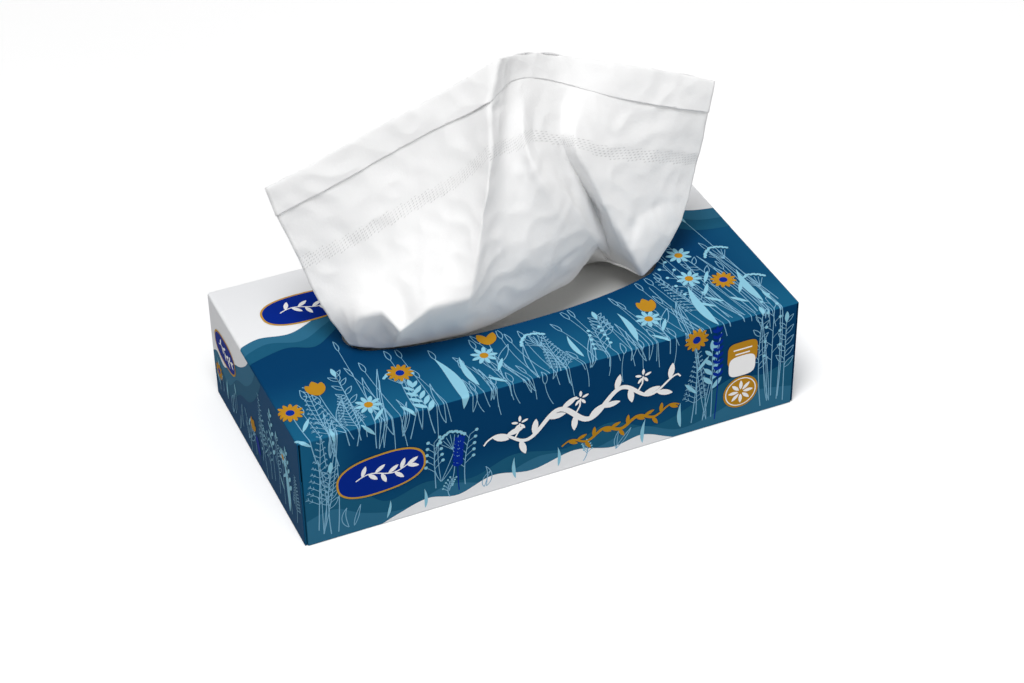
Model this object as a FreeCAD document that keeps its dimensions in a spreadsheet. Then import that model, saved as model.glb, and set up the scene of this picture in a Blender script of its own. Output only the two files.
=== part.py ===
"""Tissue box: a glued card carton, the stack of interfolded tissues in it and one tissue pulled halfway out.

Frame: millimetres, +Z up, +X along the carton's length, the front long side at -Y.
The origin is the middle of the carton's base.
"""
import FreeCAD, Part
import os

V = FreeCAD.Vector
DOC = FreeCAD.newDocument("TissueBox")

# Driving sizes, one cell each
SIZES = (
    ("box_length", 230.0, "carton outside, along X"),
    ("box_width", 114.0, "carton outside, along Y"),
    ("box_height", 55.0, "carton outside, along Z"),
    ("card_gauge", 0.45, "thickness of the folding boxboard"),
    ("fold_radius", 0.9, "outside radius of a creased fold"),
    ("glue_gauge", 0.15, "thickness of a glue line between two layers of card"),
    ("edge_setback", 0.3, "how far a flap's cut edge stops short of the next face"),
    ("seam_width", 14.0, "width of the glued seam flap inside the back panel"),
    ("inner_flap_height", 34.0, "end flap that folds up from the bottom panel"),
    ("dust_flap_length", 38.0, "end flap that folds in from the front or back panel"),
    ("mouth_length", 147.0, "oval mouth from tip to tip"),
    ("mouth_width", 40.0, "oval mouth from side to side"),
    ("mouth_side_sweep", 160.0, "long axis of the ellipse that the mouth's two long sides follow"),
    ("mouth_tip_sweep", 52.0, "short axis of the ellipse that the mouth's two tips follow"),
    ("end_room", 10.0, "free space past each end of the stack"),
    ("side_room", 6.0, "free space past each long side of the stack"),
    ("headroom", 17.0, "free space above the stack"),
    ("stack_roll", 3.0, "radius of the soft fold along the stack's long edges"),
    ("sheet_gauge", 0.5, "thickness that stands for the two plies of a tissue"),
    ("sheet_rise", 122.0, "height of the pulled tissue's peak above the carton"),
    ("hem_step", 1.2, "length over which the folded hem steps down to one layer"),
    ("stack_clearance", 0.3, "gap between the tissue's tail and the stack"),
    ("glue_bead_length", 70.0, "glue bead on an end flap, along Y"),
    ("glue_bead_height", 14.0, "glue bead on an end flap, along Z"),
    ("glue_bead_rise", 12.0, "height of that bead above the base"),
    ("seam_glue_margin", 2.0, "bare strip around the seam's glue line"),
)

# The pulled tissue as a net of points chosen by hand over its folds, drawn for these sizes:
DRAWN_SHEET_WIDTH = 210.0
DRAWN_MOUTH_LENGTH = 147.0
DRAWN_MOUTH_WIDTH = 40.0
DRAWN_RISE = 122.0
# Each fold line runs down the sheet: x, y and height above the carton at the top edge, the hem, the
# embossed band, three levels below it, and where the sheet turns under into the mouth.
FOLD_LINES = (
    ("left edge",
     ((-98, 14, 76), (-95, 12, 63), (-88, 8, 43), (-85, 4, 29),
      (-81, 0, 19), (-77, -5, 11), (-73, -8, 3))),
    ("left panel",
     ((-75, 12, 84), (-73, 9, 72), (-69, 4, 52), (-69, 0, 39),
      (-70, -5, 30), (-74, -15, 23), (-70, -11, 3))),
    ("dimple",
     ((-56, 10, 93), (-54, 7, 80), (-52, 1, 62), (-51, -4, 46),
      (-58, -9, 31), (-63, -22, 27), (-62, -12, 0))),
    ("low tip",
     ((-40, 8, 99), (-38, 5, 87), (-36, -1, 67), (-40, -7, 49),
      (-50, -18, 34), (-59, -31, 21), (-56, -15, 1))),
    ("facet",
     ((-25, 5, 106), (-24, 2, 94), (-23, -4, 75), (-28, -12, 55),
      (-37, -22, 41), (-47, -33, 31), (-43, -14, -2))),
    ("beside the ridge",
     ((-12, 1, 114), (-15, -2, 98), (-15, -9, 80), (-21, -18, 60),
      (-28, -25, 44), (-37, -33, 31), (-33, -14, -3))),
    ("ridge",
     ((-1, -4, 122), (-9, -9, 106), (-10, -17, 86), (-18, -25, 64),
      (-23, -28, 46), (-28, -32, 29), (-25, -15, -3))),
    ("shaded side",
     ((5, 2, 118), (-1, -3, 108), (0, -5, 91), (-5, -13, 65),
      (-9, -19, 42), (-12, -23, 25), (-11, -15, -2))),
    ("cone",
     ((13, 7, 115), (7, 2, 107), (3, -6, 92), (4, -14, 68),
      (6, -18, 48), (6, -20, 30), (10, -12, 3))),
    ("cone crest",
     ((22, 11, 111), (15, 6, 104), (5, -10, 91), (8, -18, 71),
      (19, -19, 53), (24, -18, 29), (31, -5, 1))),
    ("dent, left",
     ((32, 14, 106), (25, 8, 99), (7, -9, 84), (17, -14, 66),
      (29, -15, 47), (40, -11, 22), (52, 12, 5))),
    ("dent, right",
     ((41, 14, 102), (34, 9, 94), (24, -4, 77), (36, 1, 54),
      (46, 4, 33), (53, 4, 10), (57, 8, -5))),
    ("second crest",
     ((50, 11, 100), (43, 6, 90), (28, -8, 77), (37, -9, 61),
      (43, -11, 43), (52, -12, 19), (60, -4, -1))),
    ("right tip",
     ((60, 8, 97), (54, 4, 85), (43, -6, 67), (48, -9, 48),
      (51, -12, 32), (55, -16, 16), (61, -14, 1))),
    ("right panel",
     ((73, 6, 93), (67, 2, 80), (62, -4, 59), (66, -5, 40),
      (66, -8, 28), (65, -12, 16), (65, -12, 2))),
    ("beside the edge",
     ((87, 4, 88), (82, 1, 74), (80, 0, 51), (80, -3, 35),
      (76, -6, 25), (72, -9, 15), (67, -11, 3))),
    ("right edge",
     ((101, 2, 82), (98, 1, 68), (95, 1, 48), (91, 1, 32),
      (87, -2, 23), (81, -5, 14), (70, -9, 3))),
)
# How far the sheet's width has gone over from its own to the mouth's, level by level
NARROWING = (0.0, 0.1, 0.3, 0.5, 0.7, 0.85, 1.0)
# Below the turn, the sheet goes through the mouth, down to the stack and back along it
THROAT_DROP = 3.0
THROAT_PULL = (0.90, 0.45, 8.5)
FOOT_PULL = (0.92, 0.10, 12.0)
FOOT_RISE = 1.2
TAIL = ((1.04, 0.22), (1.14, 0.38))


def write_sheet():
    """Put every driving size in the spreadsheet."""
    sheet = DOC.addObject("Spreadsheet::Sheet", "Sizes")
    for row, (alias, value, note) in enumerate(SIZES, start=1):
        sheet.set("A%d" % row, str(value))
        sheet.setAlias("A%d" % row, alias)
        sheet.set("B%d" % row, note)
    DOC.recompute()
    return sheet


SHEET = write_sheet()


def size(alias):
    """Read one driving size."""
    return float(getattr(SHEET, alias))


def box(name, extents, corner):
    """A box whose three extents and lowest corner follow expressions on the spreadsheet."""
    item = DOC.addObject("Part::Box", name)
    for prop, text in zip(("Length", "Width", "Height"), extents):
        item.setExpression(prop, text)
    for axis, text in zip("xyz", corner):
        item.setExpression("Placement.Base." + axis, text)
    return item


def cut(name, base, tool):
    """One solid less another."""
    item = DOC.addObject("Part::Cut", name)
    item.Base = base
    item.Tool = tool
    return item


def rounded(name, base, radius, every_edge=False):
    """A fillet of one radius on a box's edges along X, or on all its edges."""
    DOC.recompute()
    lines = [(number, edge.tangentAt(edge.FirstParameter))
             for number, edge in enumerate(base.Shape.Edges, 1)]
    item = DOC.addObject("Part::Fillet", name)
    item.Base = base
    item.Edges = [(number, radius, radius) for number, way in lines if every_edge or abs(way.x) > 0.5]
    return item


def elliptic_punch(name, long_axis, short_axis):
    """An upright elliptic cylinder through the top panel, with its long axis along X."""
    outline = DOC.addObject("Part::Ellipse", name + "_outline")
    outline.setExpression("MajorRadius", long_axis + " / 2")
    outline.setExpression("MinorRadius", short_axis + " / 2")
    outline.setExpression("Placement.Base.z", "Sizes.box_height - 2 * Sizes.card_gauge")
    punch = DOC.addObject("Part::Extrusion", name)
    punch.Base = outline
    punch.Dir = V(0, 0, 1)
    punch.DirMode = "Custom"
    punch.Solid = True
    punch.setExpression("LengthFwd", "4 * Sizes.card_gauge")
    return punch


# Terms that several pieces share
LAYER = "(Sizes.card_gauge + Sizes.glue_gauge)"
HALF_LENGTH = "Sizes.box_length / 2"
HALF_WIDTH = "Sizes.box_width / 2"


def carton():
    """The folded blank: four panels, the seam flap and three layers of flaps at each end."""
    # Sleeve of four panels, with creased folds along X
    outside = box("sleeve_outside", ("Sizes.box_length", "Sizes.box_width", "Sizes.box_height"),
                  ("-" + HALF_LENGTH, "-" + HALF_WIDTH, "0"))
    inside = box("sleeve_inside",
                 ("Sizes.box_length + 2", "Sizes.box_width - 2 * Sizes.card_gauge",
                  "Sizes.box_height - 2 * Sizes.card_gauge"),
                 ("-" + HALF_LENGTH + " - 1", "-" + HALF_WIDTH + " + Sizes.card_gauge", "Sizes.card_gauge"))
    outside_round = rounded("sleeve_outside_round", outside, size("fold_radius"))
    inside_round = rounded("sleeve_inside_round", inside, size("fold_radius") - size("card_gauge"))
    sleeve = cut("sleeve", outside_round, inside_round)

    # The front, back and bottom panels stop two layers short of each end
    for side, corner in (("left", "-" + HALF_LENGTH + " - 1"), ("right", HALF_LENGTH + " - 2 * " + LAYER)):
        trim = box("trim_" + side,
                   ("2 * " + LAYER + " + 1", "Sizes.box_width + 2", "Sizes.box_height - Sizes.card_gauge + 1"),
                   (corner, "-" + HALF_WIDTH + " - 1", "-1"))
        sleeve = cut("sleeve_" + side, sleeve, trim)

    # The back panel's free edge: a slit as wide as the glue line parts it from the bottom panel
    slit = box("seam_slit", ("Sizes.box_length + 2", "Sizes.glue_gauge", "Sizes.seam_width + 1"),
               ("-" + HALF_LENGTH + " - 1", HALF_WIDTH + " - " + LAYER, "-1"))
    sleeve = cut("sleeve_slit", sleeve, slit)
    layers = [sleeve]
    layers.append(box("seam_flap",
                      ("Sizes.box_length - 6 * " + LAYER + " - 2 * Sizes.edge_setback", "Sizes.card_gauge",
                       "Sizes.seam_width"),
                      ("-" + HALF_LENGTH + " + 3 * " + LAYER + " + Sizes.edge_setback",
                       HALF_WIDTH + " - " + LAYER + " - Sizes.card_gauge", "0")))

    # End flaps, from outside to inside: down from the top, up from the bottom, in from the sides
    for side, sign in (("left", -1), ("right", 1)):
        def at(depth, thick="Sizes.card_gauge"):
            """Low X corner of a layer whose outer face is this deep inside the end face."""
            if sign > 0:
                return HALF_LENGTH + " - (" + depth + ") - " + thick
            return "-" + HALF_LENGTH + " + (" + depth + ")"
        layers.append(box("outer_flap_" + side,
                          ("Sizes.card_gauge", "Sizes.box_width - 2 * Sizes.edge_setback",
                           "Sizes.box_height - Sizes.edge_setback"),
                          (at("0"), "-" + HALF_WIDTH + " + Sizes.edge_setback", "Sizes.edge_setback")))
        layers.append(box("inner_flap_" + side,
                          ("Sizes.card_gauge", "Sizes.box_width - 2 * Sizes.edge_setback - 2 * " + LAYER,
                           "Sizes.inner_flap_height"),
                          (at(LAYER), "-" + HALF_WIDTH + " + Sizes.edge_setback + " + LAYER, "0")))
        layers.append(box("inner_flap_fold_" + side,
                          ("3 * Sizes.card_gauge", "Sizes.box_width - 2 * Sizes.edge_setback - 2 * " + LAYER,
                           "Sizes.card_gauge"),
                          (at(LAYER, "3 * Sizes.card_gauge"),
                           "-" + HALF_WIDTH + " + Sizes.edge_setback + " + LAYER, "0")))
        for face, low in (("front", "-" + HALF_WIDTH), ("back", HALF_WIDTH + " - Sizes.dust_flap_length")):
            layers.append(box("dust_flap_" + side + "_" + face,
                              ("Sizes.card_gauge", "Sizes.dust_flap_length",
                               "Sizes.box_height - 2 * (Sizes.card_gauge + Sizes.edge_setback)"),
                              (at("2 * " + LAYER), low, "Sizes.card_gauge + Sizes.edge_setback")))

    blank = DOC.addObject("Part::MultiFuse", "blank")
    blank.Shapes = layers
    # The creases of the end folds are rounded by the carton's own outline
    outline = box("outline", ("Sizes.box_length", "Sizes.box_width", "Sizes.box_height"),
                  ("-" + HALF_LENGTH, "-" + HALF_WIDTH, "0"))
    outline_round = rounded("outline_round", outline, size("fold_radius"), every_edge=True)
    folded = DOC.addObject("Part::Common", "folded_blank")
    folded.Base = blank
    folded.Tool = outline_round

    # Oval mouth through the top panel: what two elliptic punches, one for its sides and one for its
    # tips, have in common
    sides = elliptic_punch("mouth_sides", "Sizes.mouth_side_sweep", "Sizes.mouth_width")
    tips = elliptic_punch("mouth_tips", "Sizes.mouth_length", "Sizes.mouth_tip_sweep")
    punch = DOC.addObject("Part::Common", "mouth_punch")
    punch.Base = sides
    punch.Tool = tips
    carton_solid = cut("carton", folded, punch)
    carton_solid.Label = "carton"
    return carton_solid


def glue():
    """The glue lines: one down the seam and one bead between the two big flaps of each end."""
    seam = box("seam_glue",
               ("Sizes.box_length - 6 * " + LAYER + " - 2 * Sizes.edge_setback - 2 * Sizes.seam_glue_margin",
                "Sizes.glue_gauge", "Sizes.seam_width - 2 * Sizes.seam_glue_margin"),
               ("-" + HALF_LENGTH + " + 3 * " + LAYER + " + Sizes.edge_setback + Sizes.seam_glue_margin",
                HALF_WIDTH + " - " + LAYER, "Sizes.seam_glue_margin"))
    left = box("end_glue_left", ("Sizes.glue_gauge", "Sizes.glue_bead_length", "Sizes.glue_bead_height"),
               ("-" + HALF_LENGTH + " + Sizes.card_gauge", "-Sizes.glue_bead_length / 2",
                "Sizes.glue_bead_rise"))
    right = box("end_glue_right", ("Sizes.glue_gauge", "Sizes.glue_bead_length", "Sizes.glue_bead_height"),
                (HALF_LENGTH + " - " + LAYER, "-Sizes.glue_bead_length / 2", "Sizes.glue_bead_rise"))
    return [seam, left, right]


def tissue_stack():
    """The clip of interfolded tissues, soft along its folded long edges, standing on the bottom panel."""
    block = box("stack_block",
                ("Sizes.box_length - 2 * Sizes.end_room", "Sizes.box_width - 2 * Sizes.side_room",
                 "Sizes.box_height - 2 * Sizes.card_gauge - Sizes.headroom"),
                ("-" + HALF_LENGTH + " + Sizes.end_room", "-" + HALF_WIDTH + " + Sizes.side_room",
                 "Sizes.card_gauge"))
    stack = rounded("tissue_stack", block, size("stack_roll"))
    stack.Label = "tissue_stack"
    return stack


def sheet_net():
    """The middle surface of the pulled tissue: rows of points from its top edge to its tail."""
    level = size("box_height")
    stack_top = level - size("card_gauge") - size("headroom")
    sheet_share = (size("box_length") - 2 * size("end_room")) / DRAWN_SHEET_WIDTH
    mouth_share = size("mouth_length") / DRAWN_MOUTH_LENGTH
    reach_share = size("mouth_width") / DRAWN_MOUTH_WIDTH
    rise_share = size("sheet_rise") / DRAWN_RISE
    tail_rise = size("stack_clearance") + size("sheet_gauge")
    half_width = size("box_width") / 2

    rows = []
    for step, narrow in enumerate(NARROWING):
        across = sheet_share + (mouth_share - sheet_share) * narrow
        rows.append([V(line[step][0] * across, line[step][1] * reach_share,
                       level + line[step][2] * rise_share) for _, line in FOLD_LINES])
    turns = [(p.x, p.y) for p in rows[-1]]
    squeeze, pull, back = THROAT_PULL
    rows.append([V(x * squeeze, y * pull + back, level - THROAT_DROP) for x, y in turns])
    squeeze, pull, back = FOOT_PULL
    rows.append([V(x * squeeze, y * pull + back, stack_top + tail_rise + FOOT_RISE) for x, y in turns])
    for spread, reach in TAIL:
        rows.append([V(x * spread, half_width * 2 * reach, stack_top + tail_rise) for x, _ in turns])
    return rows


def with_hem(rows):
    """Put two rows close together where the hem ends, and say which rows carry two layers."""
    top, hem, below = rows[0], rows[1], rows[2]
    step = size("hem_step")
    above = [p + (q - p).normalize() * (step / 2) for p, q in zip(hem, top)]
    under = [p + (q - p).normalize() * (step / 2) for p, q in zip(hem, below)]
    return [top, above, under] + rows[2:], [2, 2] + [1] * (len(rows) - 1)


def facing(rows, row, column):
    """The direction that the sheet's front faces at one point of the net."""
    last_row, last_column = len(rows) - 1, len(rows[0]) - 1
    along = rows[row][min(column + 1, last_column)] - rows[row][max(column - 1, 0)]
    down = rows[min(row + 1, last_row)][column] - rows[max(row - 1, 0)][column]
    return down.cross(along).normalize()


def skin(net):
    """A smooth surface that a net of points holds: it touches the net's edges and stays within it."""
    counts = (len(net), len(net[0]))
    degrees = [min(2, count - 1) for count in counts]
    knots = [list(range(count - degree + 1)) for count, degree in zip(counts, degrees)]
    mults = [[degree + 1] + [1] * (len(line) - 2) + [degree + 1] for line, degree in zip(knots, degrees)]
    surface = Part.BSplineSurface()
    surface.buildFromPolesMultsKnots(net, mults[0], mults[1], knots[0], knots[1], False, False, *degrees)
    return surface.toShape()


def pulled_tissue():
    """The tissue that stands in the mouth, hem at the top, with its tail on the stack."""
    rows, layers = with_hem(sheet_net())
    gauge = size("sheet_gauge")
    front, back = [], []
    for row, points in enumerate(rows):
        normals = [facing(rows, row, column) for column in range(len(points))]
        front.append([p + n * (gauge * (layers[row] - 0.5)) for p, n in zip(points, normals)])
        back.append([p - n * (gauge / 2) for p, n in zip(points, normals)])
    left, right = [[[row[column] for row in side] for side in (front, back)] for column in (0, -1)]
    faces = [skin(net) for net in (front, back, [front[0], back[0]], [front[-1], back[-1]], left, right)]
    shell = Part.Shell(faces)
    shell.sewShape()
    solid = Part.Solid(shell)
    if solid.Volume < 0:
        solid.reverse()
    tissue = DOC.addObject("Part::Feature", "pulled_tissue")
    tissue.Shape = solid
    tissue.Placement = FreeCAD.Placement()
    tissue.Label = "pulled_tissue"
    return tissue


def export(parts):
    """Check every object, then write each piece to its own file."""
    DOC.recompute()
    for item in DOC.Objects:
        if "Invalid" in item.State or "Error" in item.State:
            raise RuntimeError("failed object: " + item.Name)
    for part in parts:
        if part.Shape.isNull() or not part.Shape.isValid():
            raise RuntimeError("bad shape: " + part.Label)
        if len(part.Shape.Solids) != 1:
            raise RuntimeError("not one solid: " + part.Label)
    os.makedirs("parts", exist_ok=True)
    for part in parts:
        part.Shape.exportStep("parts/" + part.Label + ".step")
        print("%-16s volume %9.1f mm3, faces %d" % (part.Label, part.Shape.Volume, len(part.Shape.Faces)))


export([carton(), tissue_stack(), pulled_tissue()] + glue())
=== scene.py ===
"""Tissue box, dressed: the printed carton, the stack in it and the tissue pulled halfway out.

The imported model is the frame. Every object is in metres, at the origin, with its place in its mesh.
"""
import logging
import math
import random
from dataclasses import dataclass, field
from enum import Enum
from typing import Any, Iterable, Sequence

import bmesh
import bpy
import numpy as np
from mathutils import Matrix, Vector, noise


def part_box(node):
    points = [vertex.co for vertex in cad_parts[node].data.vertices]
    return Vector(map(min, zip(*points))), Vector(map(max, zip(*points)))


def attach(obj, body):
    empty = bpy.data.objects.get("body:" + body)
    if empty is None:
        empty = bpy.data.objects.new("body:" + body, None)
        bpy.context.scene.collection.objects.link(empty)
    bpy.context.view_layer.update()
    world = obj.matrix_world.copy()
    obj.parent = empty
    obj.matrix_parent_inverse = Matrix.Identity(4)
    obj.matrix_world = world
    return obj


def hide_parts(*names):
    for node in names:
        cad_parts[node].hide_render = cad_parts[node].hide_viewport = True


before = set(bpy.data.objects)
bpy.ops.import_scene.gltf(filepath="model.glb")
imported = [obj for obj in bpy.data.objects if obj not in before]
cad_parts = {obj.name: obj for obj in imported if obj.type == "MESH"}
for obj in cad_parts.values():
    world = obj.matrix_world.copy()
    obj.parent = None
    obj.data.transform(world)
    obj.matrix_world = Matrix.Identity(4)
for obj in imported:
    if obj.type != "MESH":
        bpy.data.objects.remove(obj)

LOG = logging.getLogger("tissue_box")
MM = 0.001
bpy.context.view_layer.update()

Point = tuple[float, float]
Net = list[list[Vector]]


def linear(code: str) -> tuple[float, float, float, float]:
    """Turn an sRGB hex colour into linear RGBA.

    Args:
        code: six hex digits, such as "f4f4f2".

    Returns:
        Linear red, green, blue and an alpha of 1.
    """
    parts = [int(code[i:i + 2], 16) / 255 for i in (0, 2, 4)]
    return tuple(c / 12.92 if c <= 0.04045 else ((c + 0.055) / 1.055) ** 2.4 for c in parts) + (1.0,)


def add_node(tree: bpy.types.NodeTree, kind: str, inputs: dict[Any, Any] | None = None,
             **settings: Any) -> bpy.types.Node:
    """Add one node with its settings, input values and links.

    Args:
        tree: the node tree.
        kind: the node's bl_idname.
        inputs: input name or index to a value, or to the output socket that feeds it.
        settings: properties of the node.

    Returns:
        The new node.
    """
    node = tree.nodes.new(kind)
    for name, value in settings.items():
        setattr(node, name, value)
    for key, value in (inputs or {}).items():
        if isinstance(value, bpy.types.NodeSocket):
            tree.links.new(value, node.inputs[key])
        else:
            node.inputs[key].default_value = value
    return node


def maths(tree: bpy.types.NodeTree, operation: str, *values: Any) -> bpy.types.NodeSocket:
    """Add a Math node.

    Args:
        tree: the node tree.
        operation: what it does, such as "MULTIPLY".
        values: numbers or output sockets, in the order of its inputs.

    Returns:
        Its output socket.
    """
    return add_node(tree, "ShaderNodeMath", dict(enumerate(values)), operation=operation).outputs[0]


def slope(tree: bpy.types.NodeTree, value: Any, start: float, end: float, low: float, high: float,
          shape: str = "LINEAR") -> bpy.types.NodeSocket:
    """Add a Map Range node: low before the start, high past the end, and a slope in between.

    Args:
        tree: the node tree.
        value: the socket that is mapped.
        start: where the slope starts.
        end: where it ends.
        low: the result up to its start.
        high: the result past its end.
        shape: LINEAR or SMOOTHSTEP.

    Returns:
        Its output socket.
    """
    return add_node(tree, "ShaderNodeMapRange", {"Value": value, "From Min": start, "From Max": end,
                                                 "To Min": low, "To Max": high},
                    interpolation_type=shape).outputs[0]


def blend(tree: bpy.types.NodeTree, share: Any, first: Any, second: Any) -> bpy.types.NodeSocket:
    """Add a Mix node for two colours.

    Args:
        tree: the node tree.
        share: the second colour's share.
        first: a colour, or the socket that gives it.
        second: the same for the other colour.

    Returns:
        Its output socket.
    """
    return add_node(tree, "ShaderNodeMix", {"Factor": share, "A": first, "B": second},
                    data_type="RGBA").outputs["Result"]


def board_fibre(tree: bpy.types.NodeTree, place: bpy.types.NodeSocket) -> bpy.types.NodeSocket:
    """Let the board's fibre telegraph through varnish and ink, at about half a millimetre.

    Args:
        tree: the node tree.
        place: Object coordinates.

    Returns:
        The normal.
    """
    grain = add_node(tree, "ShaderNodeTexNoise", {"Vector": place, "Scale": 1 / (0.6 * MM), "Detail": 3.0})
    return add_node(tree, "ShaderNodeBump", {"Height": grain.outputs[0], "Strength": 0.12,
                                             "Distance": 0.05 * MM}).outputs[0]


def new_material(name: str) -> tuple[bpy.types.Material, bpy.types.NodeTree]:
    """Make an empty node material.

    Args:
        name: the finish's name.

    Returns:
        The material and its cleared node tree.
    """
    material = bpy.data.materials.new(name)
    material.use_nodes = True
    material.node_tree.nodes.clear()
    return material, material.node_tree


def mesh_object(name: str, vertices: Iterable[Sequence[float]], faces: Iterable[Sequence[int]],
                smooth: bool = True) -> bpy.types.Object:
    """Make a linked mesh object at the origin.

    Args:
        name: the piece's name.
        vertices: corners in metres.
        faces: corner numbers of each face.
        smooth: whether faces shade smoothly.

    Returns:
        The object.
    """
    mesh = bpy.data.meshes.new(name)
    mesh.from_pydata([tuple(v) for v in vertices], [], [tuple(f) for f in faces])
    mesh.validate()
    if smooth:
        mesh.shade_smooth()
    obj = bpy.data.objects.new(name, mesh)
    bpy.context.scene.collection.objects.link(obj)
    return obj


def bake_modifiers(obj: bpy.types.Object) -> None:
    """Swap an object's mesh for its evaluated one and drop its modifiers.

    Args:
        obj: the object.
    """
    graph = bpy.context.evaluated_depsgraph_get()
    result = bpy.data.meshes.new_from_object(obj.evaluated_get(graph), depsgraph=graph)
    obj.modifiers.clear()
    obj.data = result


@dataclass(frozen=True)
class Sizes:
    """Sizes that several pieces share, in metres, read from the frame."""

    low: Vector
    high: Vector
    stack_top: float

    @property
    def length(self) -> float:
        """Outside length along X."""
        return self.high.x - self.low.x

    @property
    def width(self) -> float:
        """Outside width along Y."""
        return self.high.y - self.low.y

    @property
    def height(self) -> float:
        """Outside height along Z."""
        return self.high.z - self.low.z


@dataclass(frozen=True)
class TissuePaper:
    """Two-ply facial tissue, creped and calendered: a matt white that lets a little light through."""

    colour: str = "fafafa"
    # Grey painted into the band's dashes: painted shade in their pressed hollows
    painted_dash_shade: str = "d8d8d8"
    translucency: float = 0.06
    crepe_pitch: float = 0.45 * MM
    fibre_size: float = 1.6 * MM
    # The embossed band: how far below the top fold it runs, and its dashes and puckers
    band_rows: tuple[float, float] = (36.0 * MM, 41.5 * MM)
    dash_pitch: float = 1.4 * MM
    dash_depth: float = 1.6
    pucker: float = 6.8 * MM
    pucker_slant: float = 1.5 * MM
    pucker_depth: float = 1.5

    def build(self) -> bpy.types.Material:
        """Build the material. It reads the sheet's own UV map, laid out in metres.

        Returns:
            The material.
        """
        material, tree = new_material("two_ply_tissue_paper")
        uv = add_node(tree, "ShaderNodeUVMap", uv_map="sheet").outputs[0]
        # Crepe: fine noise at about the crepe's pitch, drawn coarser than real so that it shows
        crepe = add_node(tree, "ShaderNodeTexNoise", {"Vector": uv, "Scale": 1 / self.crepe_pitch,
                                                      "Detail": 3.0, "Roughness": 0.6})
        fibre = add_node(tree, "ShaderNodeTexNoise", {"Vector": uv, "Scale": 1 / self.fibre_size,
                                                      "Detail": 4.0, "Roughness": 0.65})
        height = maths(tree, "MULTIPLY_ADD", crepe.outputs[0], 0.5, fibre.outputs[0])
        dash, swell = self.band(tree, uv)
        height = maths(tree, "MULTIPLY_ADD", dash, -self.dash_depth, height)
        height = maths(tree, "MULTIPLY_ADD", swell, -self.pucker_depth, height)
        bump = add_node(tree, "ShaderNodeBump", {"Height": height, "Strength": 0.6, "Distance": 0.17 * MM})
        # The dashes get painted shade: the white turns grey where they are pressed in
        paper_with_dash_shade = blend(tree, dash, linear(self.colour), linear(self.painted_dash_shade))
        paper = add_node(tree, "ShaderNodeBsdfPrincipled",
                         {"Base Color": paper_with_dash_shade, "Roughness": 0.9, "IOR": 1.45, "Specular IOR Level": 0.15,
                          "Sheen Weight": 0.1, "Normal": bump.outputs[0]})
        through = add_node(tree, "ShaderNodeBsdfTranslucent", {"Color": linear(self.colour),
                                                               "Normal": bump.outputs[0]})
        both = add_node(tree, "ShaderNodeMixShader", {0: self.translucency, 1: paper.outputs[0],
                                                      2: through.outputs[0]})
        add_node(tree, "ShaderNodeOutputMaterial", {0: both.outputs[0]})
        return material

    def band(self, tree: bpy.types.NodeTree, uv: bpy.types.NodeSocket
             ) -> tuple[bpy.types.NodeSocket, bpy.types.NodeSocket]:
        """Press the ply bond into the sheet: a knurled band of short slanted dashes along the hem.

        Args:
            tree: the material's nodes.
            uv: the sheet's map.

        Returns:
            How hard the dashes are pressed in, which also sets how dark their painted shade is, and how far
            the paper swells between puckers.
        """
        split = add_node(tree, "ShaderNodeSeparateXYZ", {0: uv})
        low, high = self.band_rows
        # The band steps sideways at every pucker, so its edges are scalloped
        step = maths(tree, "FRACT", maths(tree, "MULTIPLY", split.outputs["X"], 1 / self.pucker))
        row = maths(tree, "MULTIPLY_ADD", step, self.pucker_slant, split.outputs["Y"])
        off = maths(tree, "ABSOLUTE", maths(tree, "SUBTRACT", row, (low + high + self.pucker_slant) / 2))
        inside = maths(tree, "LESS_THAN", off, (high - low) / 2)
        slant = maths(tree, "MULTIPLY_ADD", split.outputs["Y"], 0.9, split.outputs["X"])
        dash = inside
        for along, pitch in ((slant, self.dash_pitch), (row, self.dash_pitch * 0.9)):
            wave = maths(tree, "SINE", maths(tree, "MULTIPLY", along, 2 * math.pi / pitch))
            dash = maths(tree, "MULTIPLY", dash, maths(tree, "GREATER_THAN", wave, 0.3))
        # The press bites harder in some puckers than in others
        bite = add_node(tree, "ShaderNodeTexNoise", {"Vector": uv, "Scale": 1 / self.pucker, "Detail": 1.0})
        dash = maths(tree, "MULTIPLY", dash, slope(tree, bite.outputs[0], 0.25, 0.6, 0.35, 1.0))
        return dash, maths(tree, "MULTIPLY", step, inside)


@dataclass(frozen=True)
class StackedTissue:
    """The clip of tissues: the same paper in flat folded sheets, with a fine line between sheets."""

    colour: str = "eeeeec"
    sheet_pitch: float = 0.42 * MM
    fibre_size: float = 1.6 * MM

    def build(self) -> bpy.types.Material:
        """Build the material on Object coordinates.

        Returns:
            The material.
        """
        material, tree = new_material("stacked_tissue_paper")
        place = add_node(tree, "ShaderNodeTexCoord").outputs["Object"]
        split = add_node(tree, "ShaderNodeSeparateXYZ", {0: place})
        turn = maths(tree, "MULTIPLY", split.outputs["Z"], 2 * math.pi / self.sheet_pitch)
        layers = maths(tree, "SINE", turn)
        fibre = add_node(tree, "ShaderNodeTexNoise", {"Vector": place, "Scale": 1 / self.fibre_size,
                                                      "Detail": 4.0})
        height = maths(tree, "MULTIPLY_ADD", layers, 0.4, fibre.outputs[0])
        bump = add_node(tree, "ShaderNodeBump", {"Height": height, "Strength": 0.4, "Distance": 0.1 * MM})
        paper = add_node(tree, "ShaderNodeBsdfPrincipled",
                         {"Base Color": linear(self.colour), "Roughness": 0.92, "Specular IOR Level": 0.15,
                          "Normal": bump.outputs[0]})
        add_node(tree, "ShaderNodeOutputMaterial", {0: paper.outputs[0]})
        return material


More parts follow.
